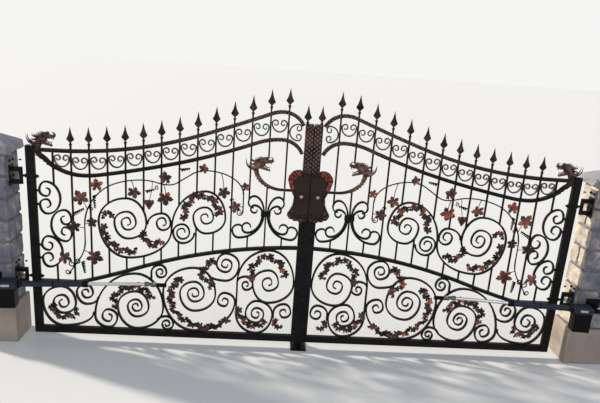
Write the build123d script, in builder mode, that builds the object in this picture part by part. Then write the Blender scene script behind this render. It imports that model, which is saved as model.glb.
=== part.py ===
from build123d import *
import os
from math import atan2, cos, degrees, hypot, radians, sin, sqrt, tan

# Wrought iron driveway gate: two leaves, closed, between two masonry piers.
# Millimetres, +X to the right, +Y away from the house, +Z up.
# The origin is on the ground, in the middle of the driveway, under the closed leaves.
# The left leaf is drawn at negative X and the right leaf is its mirror image.

# Clearances
seat_gap = 0.3
ground_gap = 50.0
leaf_gap = 6.0

# Leaf frame
hinge_stile_outer = 2003.0
hinge_stile_width = 56.0
hinge_stile_height = 1437.0
meeting_stile_width = 59.0
meeting_stile_height = 1705.0
stile_depth = 40.0
bottom_rail_height = 50.0
bottom_rail_depth = 36.0
rail_height = 25.0
rail_depth = 30.0

# Curved rails: start height over the leaf's bottom edge, start heading, then (x, heading) stations
mid_rail_start = 417.0
mid_rail_stations = [(-1720.0, 0.0), (-1620.0, 15.6), (-1250.0, 19.8)]
mid_rail_end_heading = 1.7
upper_crest_start = 1408.0
upper_crest_stations = [(-1800.0, 0.0), (-800.0, 19.0), (-300.0, 22.0), (-220.0, 0.0)]
upper_crest_end_heading = -62.0
lower_crest_start = (-1893.0, 1366.0)
lower_crest_start_heading = -50.0
lower_crest_stations = [(-1620.0, 0.0), (-1500.0, 10.0), (-1000.0, 14.0), (-400.0, 21.5), (-220.0, 0.0)]
lower_crest_end_heading = -66.0

# Pickets and finials
picket = 12.0
picket_count = 14
picket_pitch = 126.0
first_picket_x = -183.0
picket_above_rail = 26.0
collar_width = 24.0
collar_height = 18.0
spear_width = 55.0
spear_height = 118.0
spear_shoulder = 30.0
spear_thickness = 12.0
spear_neck_width = 9.6
spear_belly = 0.36
spear_waist = 0.2
spear_waist_height = 0.55
collar_block = 20.0
stile_finial_x = -50.0

# Scroll bars
bar = 13.0
bar_depth = 20.0
rise = 1.09
shrink = 0.824
eye_hook = 2
eye_hook_ratio = 0.7
crest_bar = 10.0
crest_bar_depth = 16.0
crest_curl_share = 0.48
crest_ratio = 0.8
crest_bulge = 60.0
crest_lift = 18.0
crest_end_middle = 1640.0
crest_end_half = 58.0
crest_end_bulge = 62.0
crest_end_curl = 25.0

# Lower panel: for each volute its place along the leaf, its height where it hangs free, its outer radius
corner_size = 175.0
small_left_x = -1459.0
small_left_size = 98.0
second_x = -1250.0
second_size = 246.0
corner_tail_height = 177.0
branch_eye = (-1618.0, 336.0)
branch_size = 86.0
branch_tip = (-1533.0, 300.0)
foot_x = -1020.0
foot_size = 60.0
foot_tip = (-1096.0, 118.0)
bud_x = -1070.0
bud_size = 66.0
bud_root_height = 462.0
third_x = -815.0
third_size = 283.5
inner_curl_eye = (-588.0, 314.0)
inner_curl_size = 81.0
inner_curl_ratio = 0.78
hanging_x = -586.0
hanging_size = 120.0
hanging_tip = (-712.0, 528.0)
fourth_size = 241.0
fourth_ratio = 0.79
fourth_reach = 236.0
fifth_x = -339.0
fifth_size = 148.0
twig_eye = (-427.0, 457.0)
twig_size = 62.0
twig_ratio = 0.78
twig_tip_height = 488.0
last_eye = (-127.0, 241.0)
last_size = 81.0
last_root_height = 190.0

# Upper panel: the long S runs from the round volute over the mid rail and over the high volute
round_eye = (-1310.0, 905.0)
round_size = 249.0
round_ratio = 0.82
s_waist = (-990.0, 870.0)
high_eye = (-745.0, 975.0)
high_size = 181.0
high_ratio = 0.79
bridge_eye = (-1056.0, 915.0)
bridge_size = 67.0
bridge_ratio = 0.86
bridge_root = (-1164.0, 900.0)
hook_size = 86.0
hook_ratio = 0.88
hook_height = 850.0

# Side scrolls between the hinge stile and the first pickets
side_scroll_half = 119.0
side_scroll_bulge = 97.0
side_scroll_middle = 856.0
side_scroll_step = 205.0
side_scroll_curl = 63.0
side_scroll_offset = 70.0
side_scroll_ratio = 0.75

# Lyre
lyre_waist = 1025.0
lyre_collar_width = 72.0
lyre_collar_height = 34.0
lyre_collar_plate = 4.0
lyre_foot_inset = 45.0
lyre_foot_height = 892.0
lyre_foot_size = 53.0
lyre_head_offset = 89.0
lyre_head_height = 1108.0
lyre_head_size = 45.0
lyre_inner_foot_offset = 134.0
lyre_inner_foot_height = 915.0
lyre_inner_foot_size = 37.0
lyre_inner_head_offset = 84.0
lyre_inner_head_height = 1056.0
lyre_inner_head_size = 29.0

# Dragons
dragon_thickness = 40.0
neck_bar = 26.0
neck_height = 1215.0
neck_turn_x = -200.0
neck_top = (-395.0, 1370.0)
dragon_gap = 70.0
corner_head_offset = 45.0
inner_head_shift = (16.0, -12.0)
inner_head_thickness = 32.0

# Lock shield
shield_bottom = 1000.0
shield_top = 1370.0
shield_plate = 5.0
shield_ear = (-158.0, 1285.0)
shield_waist = (-114.0, 1180.0)
shield_foot = (-148.0, 1060.0)
shield_rim = 9.0
shield_rim_height = 6.0
shield_knob = (-60.0, 1180.0)
shield_knob_radius = 10.0
shield_knob_height = 16.0

# Vine
stem = 8.0
vine_plate = 6.0
trunk = 7.0
petiole = 5.0
grape = 9.0
grape_rows = (4, 4, 3, 2, 1)
grape_pitch = 15.0
garland_stem = 7.0
garland_leaf_size = 31.0
garland_leaf_step = 47.0
garland_sway = 7.0
leaf_notch = 0.5
leaf_side_lobe = 0.9
leaf_bulge = 1.1

# Hinges
hinge_axis_x = 2045.0
hinge_heights = (505.0, 1265.0)
hinge_barrel_radius = 13.0
hinge_barrel_height = 60.0
hinge_pin_radius = 8.0
hinge_pin_clearance = 0.08
hinge_eye_bolt = 16.0
hinge_nut = 28.0
hinge_nut_length = 14.0
hinge_plate_width = 70.0
hinge_plate_height = 150.0
hinge_plate_thickness = 8.0
hinge_knuckle_height = 30.0
hinge_running_gap = 1.0

# Piers
pier_reveal_x = 2115.0
pier_width = 400.0
pier_front_y = -80.0
pier_back_y = 160.0
pier_height = 1430.0
foot_height = 300.0
foot_projection = 12.0
cap_overhang = 30.0
cap_edge = 60.0
cap_rise = 55.0
cap_top_inset = 110.0

# Gate operators
operator_pivot_out = 200.0
operator_pivot_in = 165.0
operator_front_reach = 935.0
operator_front_offset = 50.0
operator_height = 500.0
tube_radius = 22.0
tube_end_reach = 675.0
tube_ring = 26.0
tube_ring_step = 3.0
tube_floor = 8.0
rod_overlap = 65.0
rod_eye_reach = 66.0
rod_collar_step = 6.0
rod_collar_length = 30.0
housing_corner = 18.0
bracket_plate = (110.0, 120.0)
rod_radius = 12.0
rod_running_gap = 0.5
housing_back = 45.0
housing_length = 150.0
housing_width = 100.0
housing_top = 30.0
housing_bottom = 175.0
eye_thickness = 12.0
eye_radius = 22.0
eye_hole_radius = 6.0
pivot_pin_radius = 7.0
clevis_plate = 8.0
lug_thickness = 8.0
lug_bar_height = 30.0
lug_bar_ends = (-1141.0, -1022.0)

# Ground stop
stop_plate = (120.0, 130.0, 8.0)
stop_block = (60.0, 18.0, 66.0)
stop_clearance = 8.0

# Values that follow from the sizes above
meeting_face = -(leaf_gap / 2 + meeting_stile_width)
stile_face = -(hinge_stile_outer - hinge_stile_width)
bottom_seat = bottom_rail_height + seat_gap + bar / 2
hinge_axis_left = -hinge_axis_x
picket_positions = [first_picket_x - picket_pitch * index for index in range(picket_count)]

leaf_plane = Plane(origin=(0, 0, ground_gap), x_dir=(1, 0, 0), z_dir=(0, -1, 0))


# Curved rails as chains of tangent arcs

class Rail:
    """A bar whose centreline is a chain of tangent arcs, each given by its end x and end heading."""

    def __init__(self, start, heading, stations, height):
        self.half = height / 2
        self.arcs = []
        x, z = start
        angle = radians(heading)
        for end_x, end_heading in stations:
            end_angle = radians(end_heading)
            step = end_x - x
            if abs(end_angle - angle) < 1e-6:
                self.arcs.append((x, end_x, z, angle, None))
                z += step * tan(angle)
            else:
                radius = step / (sin(end_angle) - sin(angle))
                self.arcs.append((x, end_x, z, angle, radius))
                z += radius * (cos(angle) - cos(end_angle))
            x = end_x
            angle = end_angle
        self.end = (x, z, degrees(angle))

    def at(self, x):
        """Height and heading of the centreline at x."""
        chosen = self.arcs[0]
        for arc in self.arcs:
            if x >= arc[0]:
                chosen = arc
        x0, _, z0, angle, radius = chosen
        if radius is None:
            return z0 + (x - x0) * tan(angle), angle
        sine = max(-1.0, min(1.0, sin(angle) + (x - x0) / radius))
        here = atan2(sine, sqrt(1 - sine * sine))
        return z0 + radius * (cos(angle) - cos(here)), here

    def top(self, x):
        height, angle = self.at(x)
        return height + self.half / cos(angle)

    def underside(self, x):
        height, angle = self.at(x)
        return height - self.half / cos(angle)

    def edge_point(self, x, side):
        height, angle = self.at(x)
        return x - side * self.half * sin(angle), height + side * self.half * cos(angle)

    def draw(self):
        """Closed outline: the two offset chains and the square ends."""
        ends = []
        for side in (1, -1):
            first = self.edge_point(self.arcs[0][0], side)
            here = first
            for x0, x1, _, _, radius in self.arcs:
                there = self.edge_point(x1 - 1e-9, side)
                if radius is None:
                    Line(here, there)
                else:
                    ThreePointArc(here, self.edge_point((x0 + x1) / 2, side), there)
                here = there
            ends.append((first, here))
        Line(ends[0][0], ends[1][0])
        Line(ends[0][1], ends[1][1])


# Scroll bars as quarter ellipses and straight runs

def volute(eye, size, side, hand, quarters, ratio=shrink, hook=eye_hook, taper=0.55):
    """Quarter ellipses about one eye, from the outer end inward, the last ones tighter.

    size is the outer radius across.
    """
    pieces = []
    outer = size
    for step in range(quarters + hook):
        start = side + 90 * hand * step
        inner = outer * (ratio if step < quarters else eye_hook_ratio)
        if start % 180 == 0:
            axes = (outer, inner * rise)
        else:
            axes = (outer * rise, inner)
        thick = [1 - (1 - taper) * (count / (quarters + hook)) ** 2 for count in (step, step + 1)]
        pieces.append(("arc", eye, start, hand, axes, thick))
        outer = inner
    return pieces


def reverse(pieces):
    """The same pieces walked the other way."""
    turned = []
    for piece in reversed(pieces):
        if piece[0] == "arc":
            _, centre, start, hand, axes, thick = piece
            turned.append(("arc", centre, start + 90 * hand, -hand, axes[::-1], thick[::-1]))
        else:
            turned.append(("line", piece[2], piece[1]))
    return turned


def outer_end(pieces):
    """Point where a list of pieces starts."""
    if pieces[0][0] == "line":
        return pieces[0][1]
    _, centre, start, _, axes, _ = pieces[0]
    return (centre[0] + axes[0] * cos(radians(start)), centre[1] + axes[0] * sin(radians(start)))


def quarter(start, end, upright):
    """Quarter ellipse from start to end. upright says that it leaves start along Z."""
    centre = (end[0], start[1]) if upright else (start[0], end[1])
    first = round(degrees(atan2(start[1] - centre[1], start[0] - centre[0])) / 90) * 90
    last = round(degrees(atan2(end[1] - centre[1], end[0] - centre[0])) / 90) * 90
    hand = 1 if (last - first) % 360 == 90 else -1
    first_axis = hypot(start[0] - centre[0], start[1] - centre[1])
    last_axis = hypot(end[0] - centre[0], end[1] - centre[1])
    return ("arc", centre, first, hand, (first_axis, last_axis), [1.0, 1.0])


def draw_bar(pieces, thickness):
    """Closed outline of a bar along the pieces, as a face."""
    with BuildLine() as outline:
        for piece in pieces:
            if piece[0] == "line":
                (x0, z0), (x1, z1) = piece[1], piece[2]
                length = hypot(x1 - x0, z1 - z0)
                shift = (-(z1 - z0) / length * thickness / 2, (x1 - x0) / length * thickness / 2)
                for side in (1, -1):
                    move = (side * shift[0], side * shift[1])
                    Line((x0 + move[0], z0 + move[1]), (x1 + move[0], z1 + move[1]))
            else:
                _, centre, start, hand, axes, thick = piece
                for side in (1, -1):
                    pair = [axis + side * part * thickness / 2 for axis, part in zip(axes, thick)]
                    if start % 180 != 0:
                        pair.reverse()
                    EllipticalCenterArc(centre, pair[0], pair[1], start_angle=start % 360, arc_size=90 * hand)
        for piece, last in ((pieces[0], False), (pieces[-1], True)):
            Line(*end_corners(piece, last, thickness))
    make_face(outline.edges())


def end_corners(piece, last, thickness):
    """The two corners of a bar's square end."""
    if piece[0] == "line":
        (x0, z0), (x1, z1) = piece[1], piece[2]
        length = hypot(x1 - x0, z1 - z0)
        along = ((x1 - x0) / length, (z1 - z0) / length)
        point = piece[2] if last else piece[1]
        normal = (-along[1] * thickness / 2, along[0] * thickness / 2)
    else:
        _, centre, start, hand, axes, thick = piece
        angle = radians(start + 90 * hand) if last else radians(start)
        axis = axes[1] if last else axes[0]
        half = (thick[1] if last else thick[0]) * thickness / 2
        point = (centre[0] + axis * cos(angle), centre[1] + axis * sin(angle))
        normal = (half * cos(angle), half * sin(angle))
    return ((point[0] + normal[0], point[1] + normal[1]), (point[0] - normal[0], point[1] - normal[1]))


def ellipse_height(centre, axes, x, side, half):
    """Height of a quarter ellipse's outer edge at x, above (side 1) or below (side -1) its centre."""
    share = (x - centre[0]) / (axes[0] + half)
    return centre[1] + side * (axes[1] + half) * sqrt(1 - share * share)


def piece_height(piece, x, side, half):
    """Height of an arc piece's outer edge at x."""
    _, centre, start, _, axes, _ = piece
    across_first = axes if start % 180 == 0 else axes[::-1]
    return ellipse_height(centre, across_first, x, side, half)


def c_scroll(middle, across, bulge, curl, opening, ratio, quarters=4):
    """Two curls joined by a bulging back. opening is the side that it opens to, in degrees."""
    turn = radians(opening)

    def place(ahead, beside):
        return (
            middle[0] + ahead * cos(turn) - beside * sin(turn),
            middle[1] + ahead * sin(turn) + beside * cos(turn),
        )

    upright = opening % 180 == 0
    reach = curl * rise if upright else curl
    low = volute(place(0, -(across - reach)), curl, opening - 90, 1, quarters, ratio, 0)
    high = volute(place(0, across - reach), curl, opening + 90, -1, quarters, ratio, 0)
    back = place(-bulge, 0)
    return (
        reverse(low)
        + [quarter(outer_end(low), back, not upright), quarter(back, outer_end(high), upright)]
        + high
    )


# Scrolls of the lower panel

def seated(x, size, quarters, ratio=shrink):
    """Eye of a volute that rests on the bottom rail after some quarters."""
    return (x, bottom_seat + size * rise * ratio ** quarters)


def hung(x, top, left, rail):
    """Eye of a volute that touches the sloping rail above it. top and left are its radii there."""
    heights = []
    for step in range(31):
        angle = radians(90 + 3 * step)
        there = x + (left + bar / 2) * cos(angle)
        heights.append(rail.underside(there) - (top + bar / 2) * sin(angle))
    return (x, min(heights) - seat_gap)


def lower_panel(rail):
    """The bars of the lower panel by name, each a list of pieces."""
    corner_x = stile_face + seat_gap + bar / 2 + corner_size * shrink
    corner = volute(seated(corner_x, corner_size, 0), corner_size, 270, -1, 8)
    small_left = volute(seated(small_left_x, small_left_size, 1), small_left_size, 180, 1, 5)
    second = volute(seated(second_x, second_size, 2), second_size, 90, -1, 11)
    corner_tip = (outer_end(small_left)[0] - bar * 0.8, corner_tail_height)
    branch = volute(branch_eye, branch_size, 270, -1, 5)
    foot = volute(seated(foot_x, foot_size, 2), foot_size, 90, -1, 5)
    bud = volute(hung(bud_x, bud_size * rise * shrink, bud_size, rail), bud_size, 180, -1, 5)
    third = volute(seated(third_x, third_size, 0), third_size, 270, -1, 11)
    inner_curl = volute(inner_curl_eye, inner_curl_size, 0, 1, 4, inner_curl_ratio)
    hanging_top = hanging_size * rise * shrink ** 2
    hanging_eye = hung(hanging_x, hanging_top, hanging_size * shrink ** 3, rail)
    hanging = volute(hanging_eye, hanging_size, 270, 1, 7)
    fourth_x = meeting_face - seat_gap - bar / 2 - fourth_size * fourth_ratio
    fourth_eye = hung(fourth_x, fourth_size * rise, fourth_reach, rail)
    fourth = volute(fourth_eye, fourth_size, 90, -1, 8, fourth_ratio)
    fourth_left = (fourth_x - fourth_reach, fourth_eye[1])
    fifth = volute(seated(fifth_x, fifth_size, 0), fifth_size, 270, 1, 8)
    fifth_left = (fourth_left[0], fifth[0][1][1])
    twig = volute(twig_eye, twig_size, 90, -1, 4, twig_ratio)
    last_curl = volute(last_eye, last_size, 180, -1, 4, fourth_ratio)
    return {
        "corner": reverse(corner) + [quarter(outer_end(corner), corner_tip, False)],
        "second": reverse(small_left) + [quarter(outer_end(small_left), outer_end(second), True)] + second,
        "branch": reverse(branch) + [quarter(outer_end(branch), branch_tip, False)],
        "foot": reverse(foot) + [quarter(outer_end(foot), foot_tip, False)],
        "bud": reverse(bud) + [("line", outer_end(bud), (outer_end(bud)[0], bud_root_height))],
        "third": reverse(third) + [quarter(outer_end(third), outer_end(inner_curl), False)] + inner_curl,
        "hanging": reverse(hanging) + [quarter(outer_end(hanging), hanging_tip, False)],
        "fourth": reverse(fourth)
        + [quarter(outer_end(fourth), fourth_left, False), ("line", fourth_left, fifth_left)],
        "fifth": [quarter(fifth_left, outer_end(fifth), True)] + fifth,
        "twig": reverse(twig)
        + [quarter(outer_end(twig), (fourth_left[0] + bar * 0.3, twig_tip_height), False)],
        "last": reverse(last_curl)
        + [("line", outer_end(last_curl), (outer_end(last_curl)[0], last_root_height))],
    }


# Scrolls of the upper panel

hook_eye = (picket_positions[5] - picket / 2 - seat_gap - bar / 2 - hook_size, hook_height)


def upper_panel():
    """The bars of the upper panel, each a list of pieces."""
    round_volute = volute(round_eye, round_size, 270, -1, 10, round_ratio)
    high_volute = volute(high_eye, high_size, 90, -1, 7, high_ratio)
    bridge = volute(bridge_eye, bridge_size, 90, -1, 4, bridge_ratio)
    hook = volute(hook_eye, hook_size, 0, -1, 6, hook_ratio)
    return [
        reverse(round_volute)
        + [quarter(outer_end(round_volute), s_waist, False), quarter(s_waist, outer_end(high_volute), True)]
        + high_volute,
        [quarter(bridge_root, outer_end(bridge), True)] + bridge,
        hook,
    ]


def side_scrolls():
    """Three C-scrolls beside the hinge stile, each against the next."""
    stile_column = stile_face + side_scroll_offset
    curl_left = side_scroll_curl * side_scroll_ratio
    picket_column = picket_positions[-2] - picket / 2 - seat_gap - bar / 2 - curl_left
    bars = []
    for index, column, opening in ((1, stile_column, 180), (0, picket_column, 0), (-1, stile_column, 180)):
        middle = (column, side_scroll_middle + index * side_scroll_step)
        bars.append(
            c_scroll(
                middle, side_scroll_half, side_scroll_bulge, side_scroll_curl, opening, side_scroll_ratio
            )
        )
        if opening == 180:
            eye_shift = side_scroll_half - side_scroll_curl * rise
            for shift in (-eye_shift, eye_shift):
                height = middle[1] + shift
                bars.append([("line", (stile_face + seat_gap, height), (column - curl_left, height))])
    return bars


def lyre_bars():
    """Nested S-scrolls to the left of the lyre's picket."""
    centre = picket_positions[1]
    room = min(meeting_face - centre, 2 * picket_pitch - picket / 2)
    reach = room - seat_gap - bar / 2
    outer_foot = volute(
        (centre - reach + lyre_foot_inset, lyre_foot_height), lyre_foot_size, 270, -1, 3, 0.85, 0
    )
    outer_head = volute((centre - lyre_head_offset, lyre_head_height), lyre_head_size, 90, 1, 2, 0.9, 0)
    inner_foot = volute(
        (centre - lyre_inner_foot_offset, lyre_inner_foot_height), lyre_inner_foot_size, 270, -1, 3, 0.93, 0
    )
    inner_head = volute(
        (centre - lyre_inner_head_offset, lyre_inner_head_height), lyre_inner_head_size, 90, 1, 3, 0.9, 0
    )
    outer_waist = (centre - picket / 2 - seat_gap - bar / 2, lyre_waist)
    inner_waist = (outer_waist[0] - bar * 0.9, lyre_waist)
    bars = []
    for head, foot, waist in ((outer_head, outer_foot, outer_waist), (inner_head, inner_foot, inner_waist)):
        bars.append(
            reverse(head)
            + [quarter(outer_end(head), waist, False), quarter(waist, outer_end(foot), True)]
            + foot
        )
    return bars


def crest_bars(upper, lower):
    """One C-scroll in each bay between the crest rails, and one beside the meeting stile."""
    half_width = (picket_pitch - picket) / 2 - seat_gap - crest_bar / 2
    curl = half_width * crest_curl_share
    bars = []
    for index in range(picket_count - 1):
        x = (picket_positions[index] + picket_positions[index + 1]) / 2
        middle = (upper.at(x)[0] + lower.at(x)[0]) / 2 + crest_lift
        bars.append(c_scroll((x, middle), half_width, crest_bulge, curl, 90, crest_ratio))
    x = picket_positions[0] + picket / 2 + seat_gap + crest_bar / 2 + crest_end_bulge
    bars.append(
        c_scroll((x, crest_end_middle), crest_end_half, crest_end_bulge, crest_end_curl, 0, crest_ratio)
    )
    return bars


# Pieces of the left leaf

mid_rail_line = Rail(
    (stile_face + seat_gap, mid_rail_start), 0.0,
    mid_rail_stations + [(meeting_face - seat_gap - 1, mid_rail_end_heading)], rail_height,
)
upper_crest_line = Rail(
    (stile_face + seat_gap, upper_crest_start), 0.0,
    upper_crest_stations + [(meeting_face - seat_gap - rail_height / 2, upper_crest_end_heading)], rail_height,
)
lower_crest_line = Rail(
    lower_crest_start, lower_crest_start_heading,
    lower_crest_stations + [(meeting_face - seat_gap - rail_height / 2, lower_crest_end_heading)], rail_height,
)


def solid_bars(bars, thickness, depth):
    """Bars drawn in the leaf's plane, joined where they touch, and given their depth."""
    with BuildPart() as builder:
        with BuildSketch(leaf_plane):
            for pieces in bars:
                draw_bar(pieces, thickness)
        extrude(amount=depth / 2, both=True)
    return builder


def leaf_box(x0, x1, z0, z1, y0, y1):
    """A block given by its corners, with heights over the leaf's bottom edge."""
    with Locations(((x0 + x1) / 2, (y0 + y1) / 2, ground_gap + (z0 + z1) / 2)):
        Box(x1 - x0, y1 - y0, z1 - z0)


def make_rail(line, holes):
    """A curved rail with a square hole punched for each picket."""
    hole = picket + 2 * seat_gap
    with BuildPart() as builder:
        with BuildSketch(leaf_plane):
            with BuildLine():
                line.draw()
            make_face()
        extrude(amount=rail_depth / 2, both=True)
        if holes:
            with Locations(*[(x, 0, ground_gap + line.at(x)[0]) for x in holes]):
                Box(hole, hole, rail_height * 4, mode=Mode.SUBTRACT)
    return builder


def picket_ends():
    """For each picket, the pieces it is cut into: (low, low edge heights), (high, high edge heights)."""
    half = bar / 2
    lower_s = (round_eye[0], s_waist[1])
    lower_s_axes = (s_waist[0] - round_eye[0], s_waist[1] - (round_eye[1] - round_size * rise))
    upper_s = (high_eye[0], s_waist[1])
    upper_s_axes = (high_eye[0] - s_waist[0], high_eye[1] + high_size * rise - s_waist[1])
    round_left = round_size * round_ratio
    round_top = round_size * round_ratio ** 2 * rise
    round_right = round_size * round_ratio ** 3
    high_right = high_size * high_ratio
    high_bottom = high_size * high_ratio ** 2 * rise
    high_left = high_size * high_ratio ** 3
    side_low = (stile_face + side_scroll_offset, side_scroll_middle - side_scroll_step)
    side_high = (side_low[0], side_scroll_middle + side_scroll_step)
    side_axes = (side_scroll_bulge, side_scroll_half)
    hook_bottom = hook_size * hook_ratio * rise
    hook_left = hook_size * hook_ratio ** 2
    return {
        13: (
            lambda x: ellipse_height(side_low, side_axes, x, -1, half),
            lambda x: ellipse_height(side_high, side_axes, x, 1, half),
        ),
        10: (
            lambda x: ellipse_height(round_eye, (round_left, round_size * rise), x, -1, half),
            lambda x: ellipse_height(round_eye, (round_left, round_top), x, 1, half),
        ),
        9: (
            lambda x: ellipse_height(round_eye, (round_left, round_size * rise), x, -1, half),
            lambda x: ellipse_height(round_eye, (round_left, round_top), x, 1, half),
        ),
        8: (
            lambda x: ellipse_height(lower_s, lower_s_axes, x, -1, half),
            lambda x: ellipse_height(round_eye, (round_right, round_top), x, 1, half),
        ),
        7: (
            lambda x: ellipse_height(lower_s, lower_s_axes, x, -1, half),
            lambda x: ellipse_height(
                bridge_eye, (bridge_eye[0] - bridge_root[0], bridge_size * rise), x, 1, half
            ),
        ),
        6: (
            lambda x: ellipse_height(hook_eye, (hook_left, hook_bottom), x, -1, half),
            lambda x: ellipse_height(upper_s, upper_s_axes, x, 1, half),
        ),
        5: (
            lambda x: ellipse_height(high_eye, (high_left, high_bottom), x, -1, half),
            lambda x: ellipse_height(upper_s, upper_s_axes, x, 1, half),
        ),
        4: (
            lambda x: ellipse_height(high_eye, (high_right, high_bottom), x, -1, half),
            lambda x: ellipse_height(high_eye, (high_right, high_size * rise), x, 1, half),
        ),
    }


def picket_piece(x, low, high):
    """A picket between two edges, its ends cut to follow them."""
    across = [x + picket * (step / 4 - 0.5) for step in range(5)]
    with BuildLine() as outline:
        Polyline(
            *[(place, low(place) + seat_gap) for place in across],
            *[(place, high(place) - seat_gap) for place in reversed(across)], close=True,
        )
    make_face(outline.edges())


def straight(height):
    """An edge at one height."""
    return lambda x: height


def make_pickets():
    """Pickets from the mid rail to their finials, cut where a scroll or the neck takes their place."""
    mirror_of = 2 * picket_positions[1]
    lyre = lyre_bars()[0]
    neck_centre = (neck_turn_x, neck_top[1])
    neck_axes = (neck_turn_x - neck_top[0], neck_top[1] - neck_height)
    cuts = picket_ends()

    def lyre_foot(x):
        return piece_height(lyre[3], x, -1, bar / 2)

    def lyre_head(x):
        return piece_height(lyre[1], x, 1, bar / 2)

    with BuildPart() as builder:
        with BuildSketch(leaf_plane):
            for index, x in enumerate(picket_positions):
                low = mid_rail_line.top
                high = straight(upper_crest_line.top(x) + picket_above_rail + seat_gap)
                if index == 13:
                    high = upper_crest_line.underside
                if index in cuts:
                    picket_piece(x, low, cuts[index][0])
                    picket_piece(x, cuts[index][1], high)
                elif index == 2:
                    picket_piece(x, low, lyre_foot)
                    picket_piece(x, lyre_head, high)
                elif index == 1:
                    picket_piece(x, low, lambda at: ellipse_height(neck_centre, neck_axes, at, -1, neck_bar / 2))
                    picket_piece(x, straight(dragon_behind), high)
                elif index == 0:
                    picket_piece(x, low, lambda at: lyre_foot(mirror_of - at))
                    picket_piece(x, lambda at: lyre_head(mirror_of - at), straight(neck_height - neck_bar / 2))
                    picket_piece(x, straight(neck_height + neck_bar / 2), high)
                else:
                    picket_piece(x, low, high)
        extrude(amount=picket / 2, both=True)
    return builder


def make_lyre():
    """Both halves of the lyre and the collar that holds them round the picket."""
    centre = picket_positions[1]
    with BuildPart() as builder:
        with BuildSketch(leaf_plane):
            for pieces in lyre_bars():
                draw_bar(pieces, bar)
        extrude(amount=bar_depth / 2, both=True)
        mirror(about=Plane(origin=(centre, 0, 0), z_dir=(1, 0, 0)))
        half = lyre_collar_width / 2
        low, high = lyre_waist - lyre_collar_height / 2, lyre_waist + lyre_collar_height / 2
        for side in (-1, 1):
            inner = side * (bar_depth / 2 - 1)
            outer = side * (bar_depth / 2 + lyre_collar_plate)
            leaf_box(centre - half, centre + half, low, high, min(inner, outer), max(inner, outer))
    return builder


def make_finials():
    """Spear finials on their collars."""
    places = [(x, upper_crest_line.top(x) + picket_above_rail) for x in picket_positions[:-1]]
    places.append((stile_finial_x, meeting_stile_height))
    with BuildPart() as builder:
        with BuildSketch(leaf_plane):
            for x, z in places:
                base = z + collar_height
                with BuildLine():
                    for side in (-1, 1):
                        neck = (x + side * spear_neck_width / 2, base)
                        belly = (x + side * spear_width * spear_belly, base + spear_shoulder * spear_belly)
                        shoulder = (x + side * spear_width / 2, base + spear_shoulder)
                        waist = (x + side * spear_width * spear_waist, base + spear_height * spear_waist_height)
                        ThreePointArc(neck, belly, shoulder)
                        ThreePointArc(shoulder, waist, (x, base + spear_height))
                    Line((x - spear_neck_width / 2, base), (x + spear_neck_width / 2, base))
                make_face()
        extrude(amount=spear_thickness / 2, both=True)
        with BuildSketch(leaf_plane):
            for x, z in places:
                with Locations((x, z + collar_height / 2)):
                    Ellipse(collar_width / 2, collar_height / 2)
                    Rectangle(picket, collar_height)
        extrude(amount=collar_block / 2, both=True)
    return builder


# Dragon heads: one silhouette facing +X, its neck ending at the origin

def draw_dragon():
    """Head with a domed brow, open jaws and two horns swept back."""
    with BuildLine() as outline:
        ThreePointArc((-34, -2), (-76, 24), (-92, 84))
        ThreePointArc((-92, 84), (-70, 48), (-40, 38))
        ThreePointArc((-40, 38), (-54, 56), (-52, 82))
        ThreePointArc((-52, 82), (-38, 64), (-14, 66))
        Spline((-14, 66), (14, 92), (50, 107), (84, 92), (111, 80), tangents=((1, 0.9), (1, -0.1)))
        ThreePointArc((111, 80), (113, 62), (98, 52))
        ThreePointArc((98, 52), (72, 54), (50, 42))
        ThreePointArc((50, 42), (62, 20), (88, 6))
        ThreePointArc((88, 6), (76, -12), (52, -10))
        ThreePointArc((52, -10), (30, 4), (10, -2))
        Line((10, -2), (-34, -2))
    make_face(outline.edges())


def make_corner_dragon():
    """Head on the hinge corner: a block on the stile, a neck down to the lower crest rail's end."""
    base = (stile_face + corner_head_offset, hinge_stile_height + 3.0)
    rail_top = upper_crest_line.top(base[0])
    with BuildPart() as builder:
        with BuildSketch(leaf_plane):
            with Locations(base):
                with BuildSketch(mode=Mode.PRIVATE) as head:
                    draw_dragon()
                add(head.sketch)
            with BuildLine():
                Polyline(
                    (stile_face - 38.0, hinge_stile_height + seat_gap),
                    (stile_face + seat_gap, hinge_stile_height + seat_gap),
                    (stile_face + seat_gap, rail_top + seat_gap),
                    (stile_face + 66.0, rail_top + seat_gap),
                    (stile_face + 52.0, hinge_stile_height + 12.0),
                    (stile_face - 4.0, hinge_stile_height + 22.0),
                    close=True,
                )
            make_face()
        extrude(amount=dragon_thickness / 2, both=True)
    return builder


dragon_behind = neck_top[1] + dragon_gap
dragon_front = -picket / 2 - seat_gap


def make_inner_dragon():
    """Head over the lyre, in front of the pickets, on a curled neck from the meeting stile."""
    root = (meeting_face - seat_gap, neck_height)
    turn = (neck_turn_x, neck_height)
    with BuildPart() as builder:
        with BuildSketch(leaf_plane):
            draw_bar([("line", root, turn), quarter(turn, neck_top, False)], neck_bar)
        extrude(amount=neck_bar / 2, both=True)
        with BuildSketch(leaf_plane.offset(-dragon_front)):
            with Locations((neck_top[0] + inner_head_shift[0], neck_top[1] + inner_head_shift[1])):
                with BuildSketch(mode=Mode.PRIVATE) as head:
                    draw_dragon()
                add(head.sketch)
        extrude(amount=inner_head_thickness)
    return builder


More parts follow.
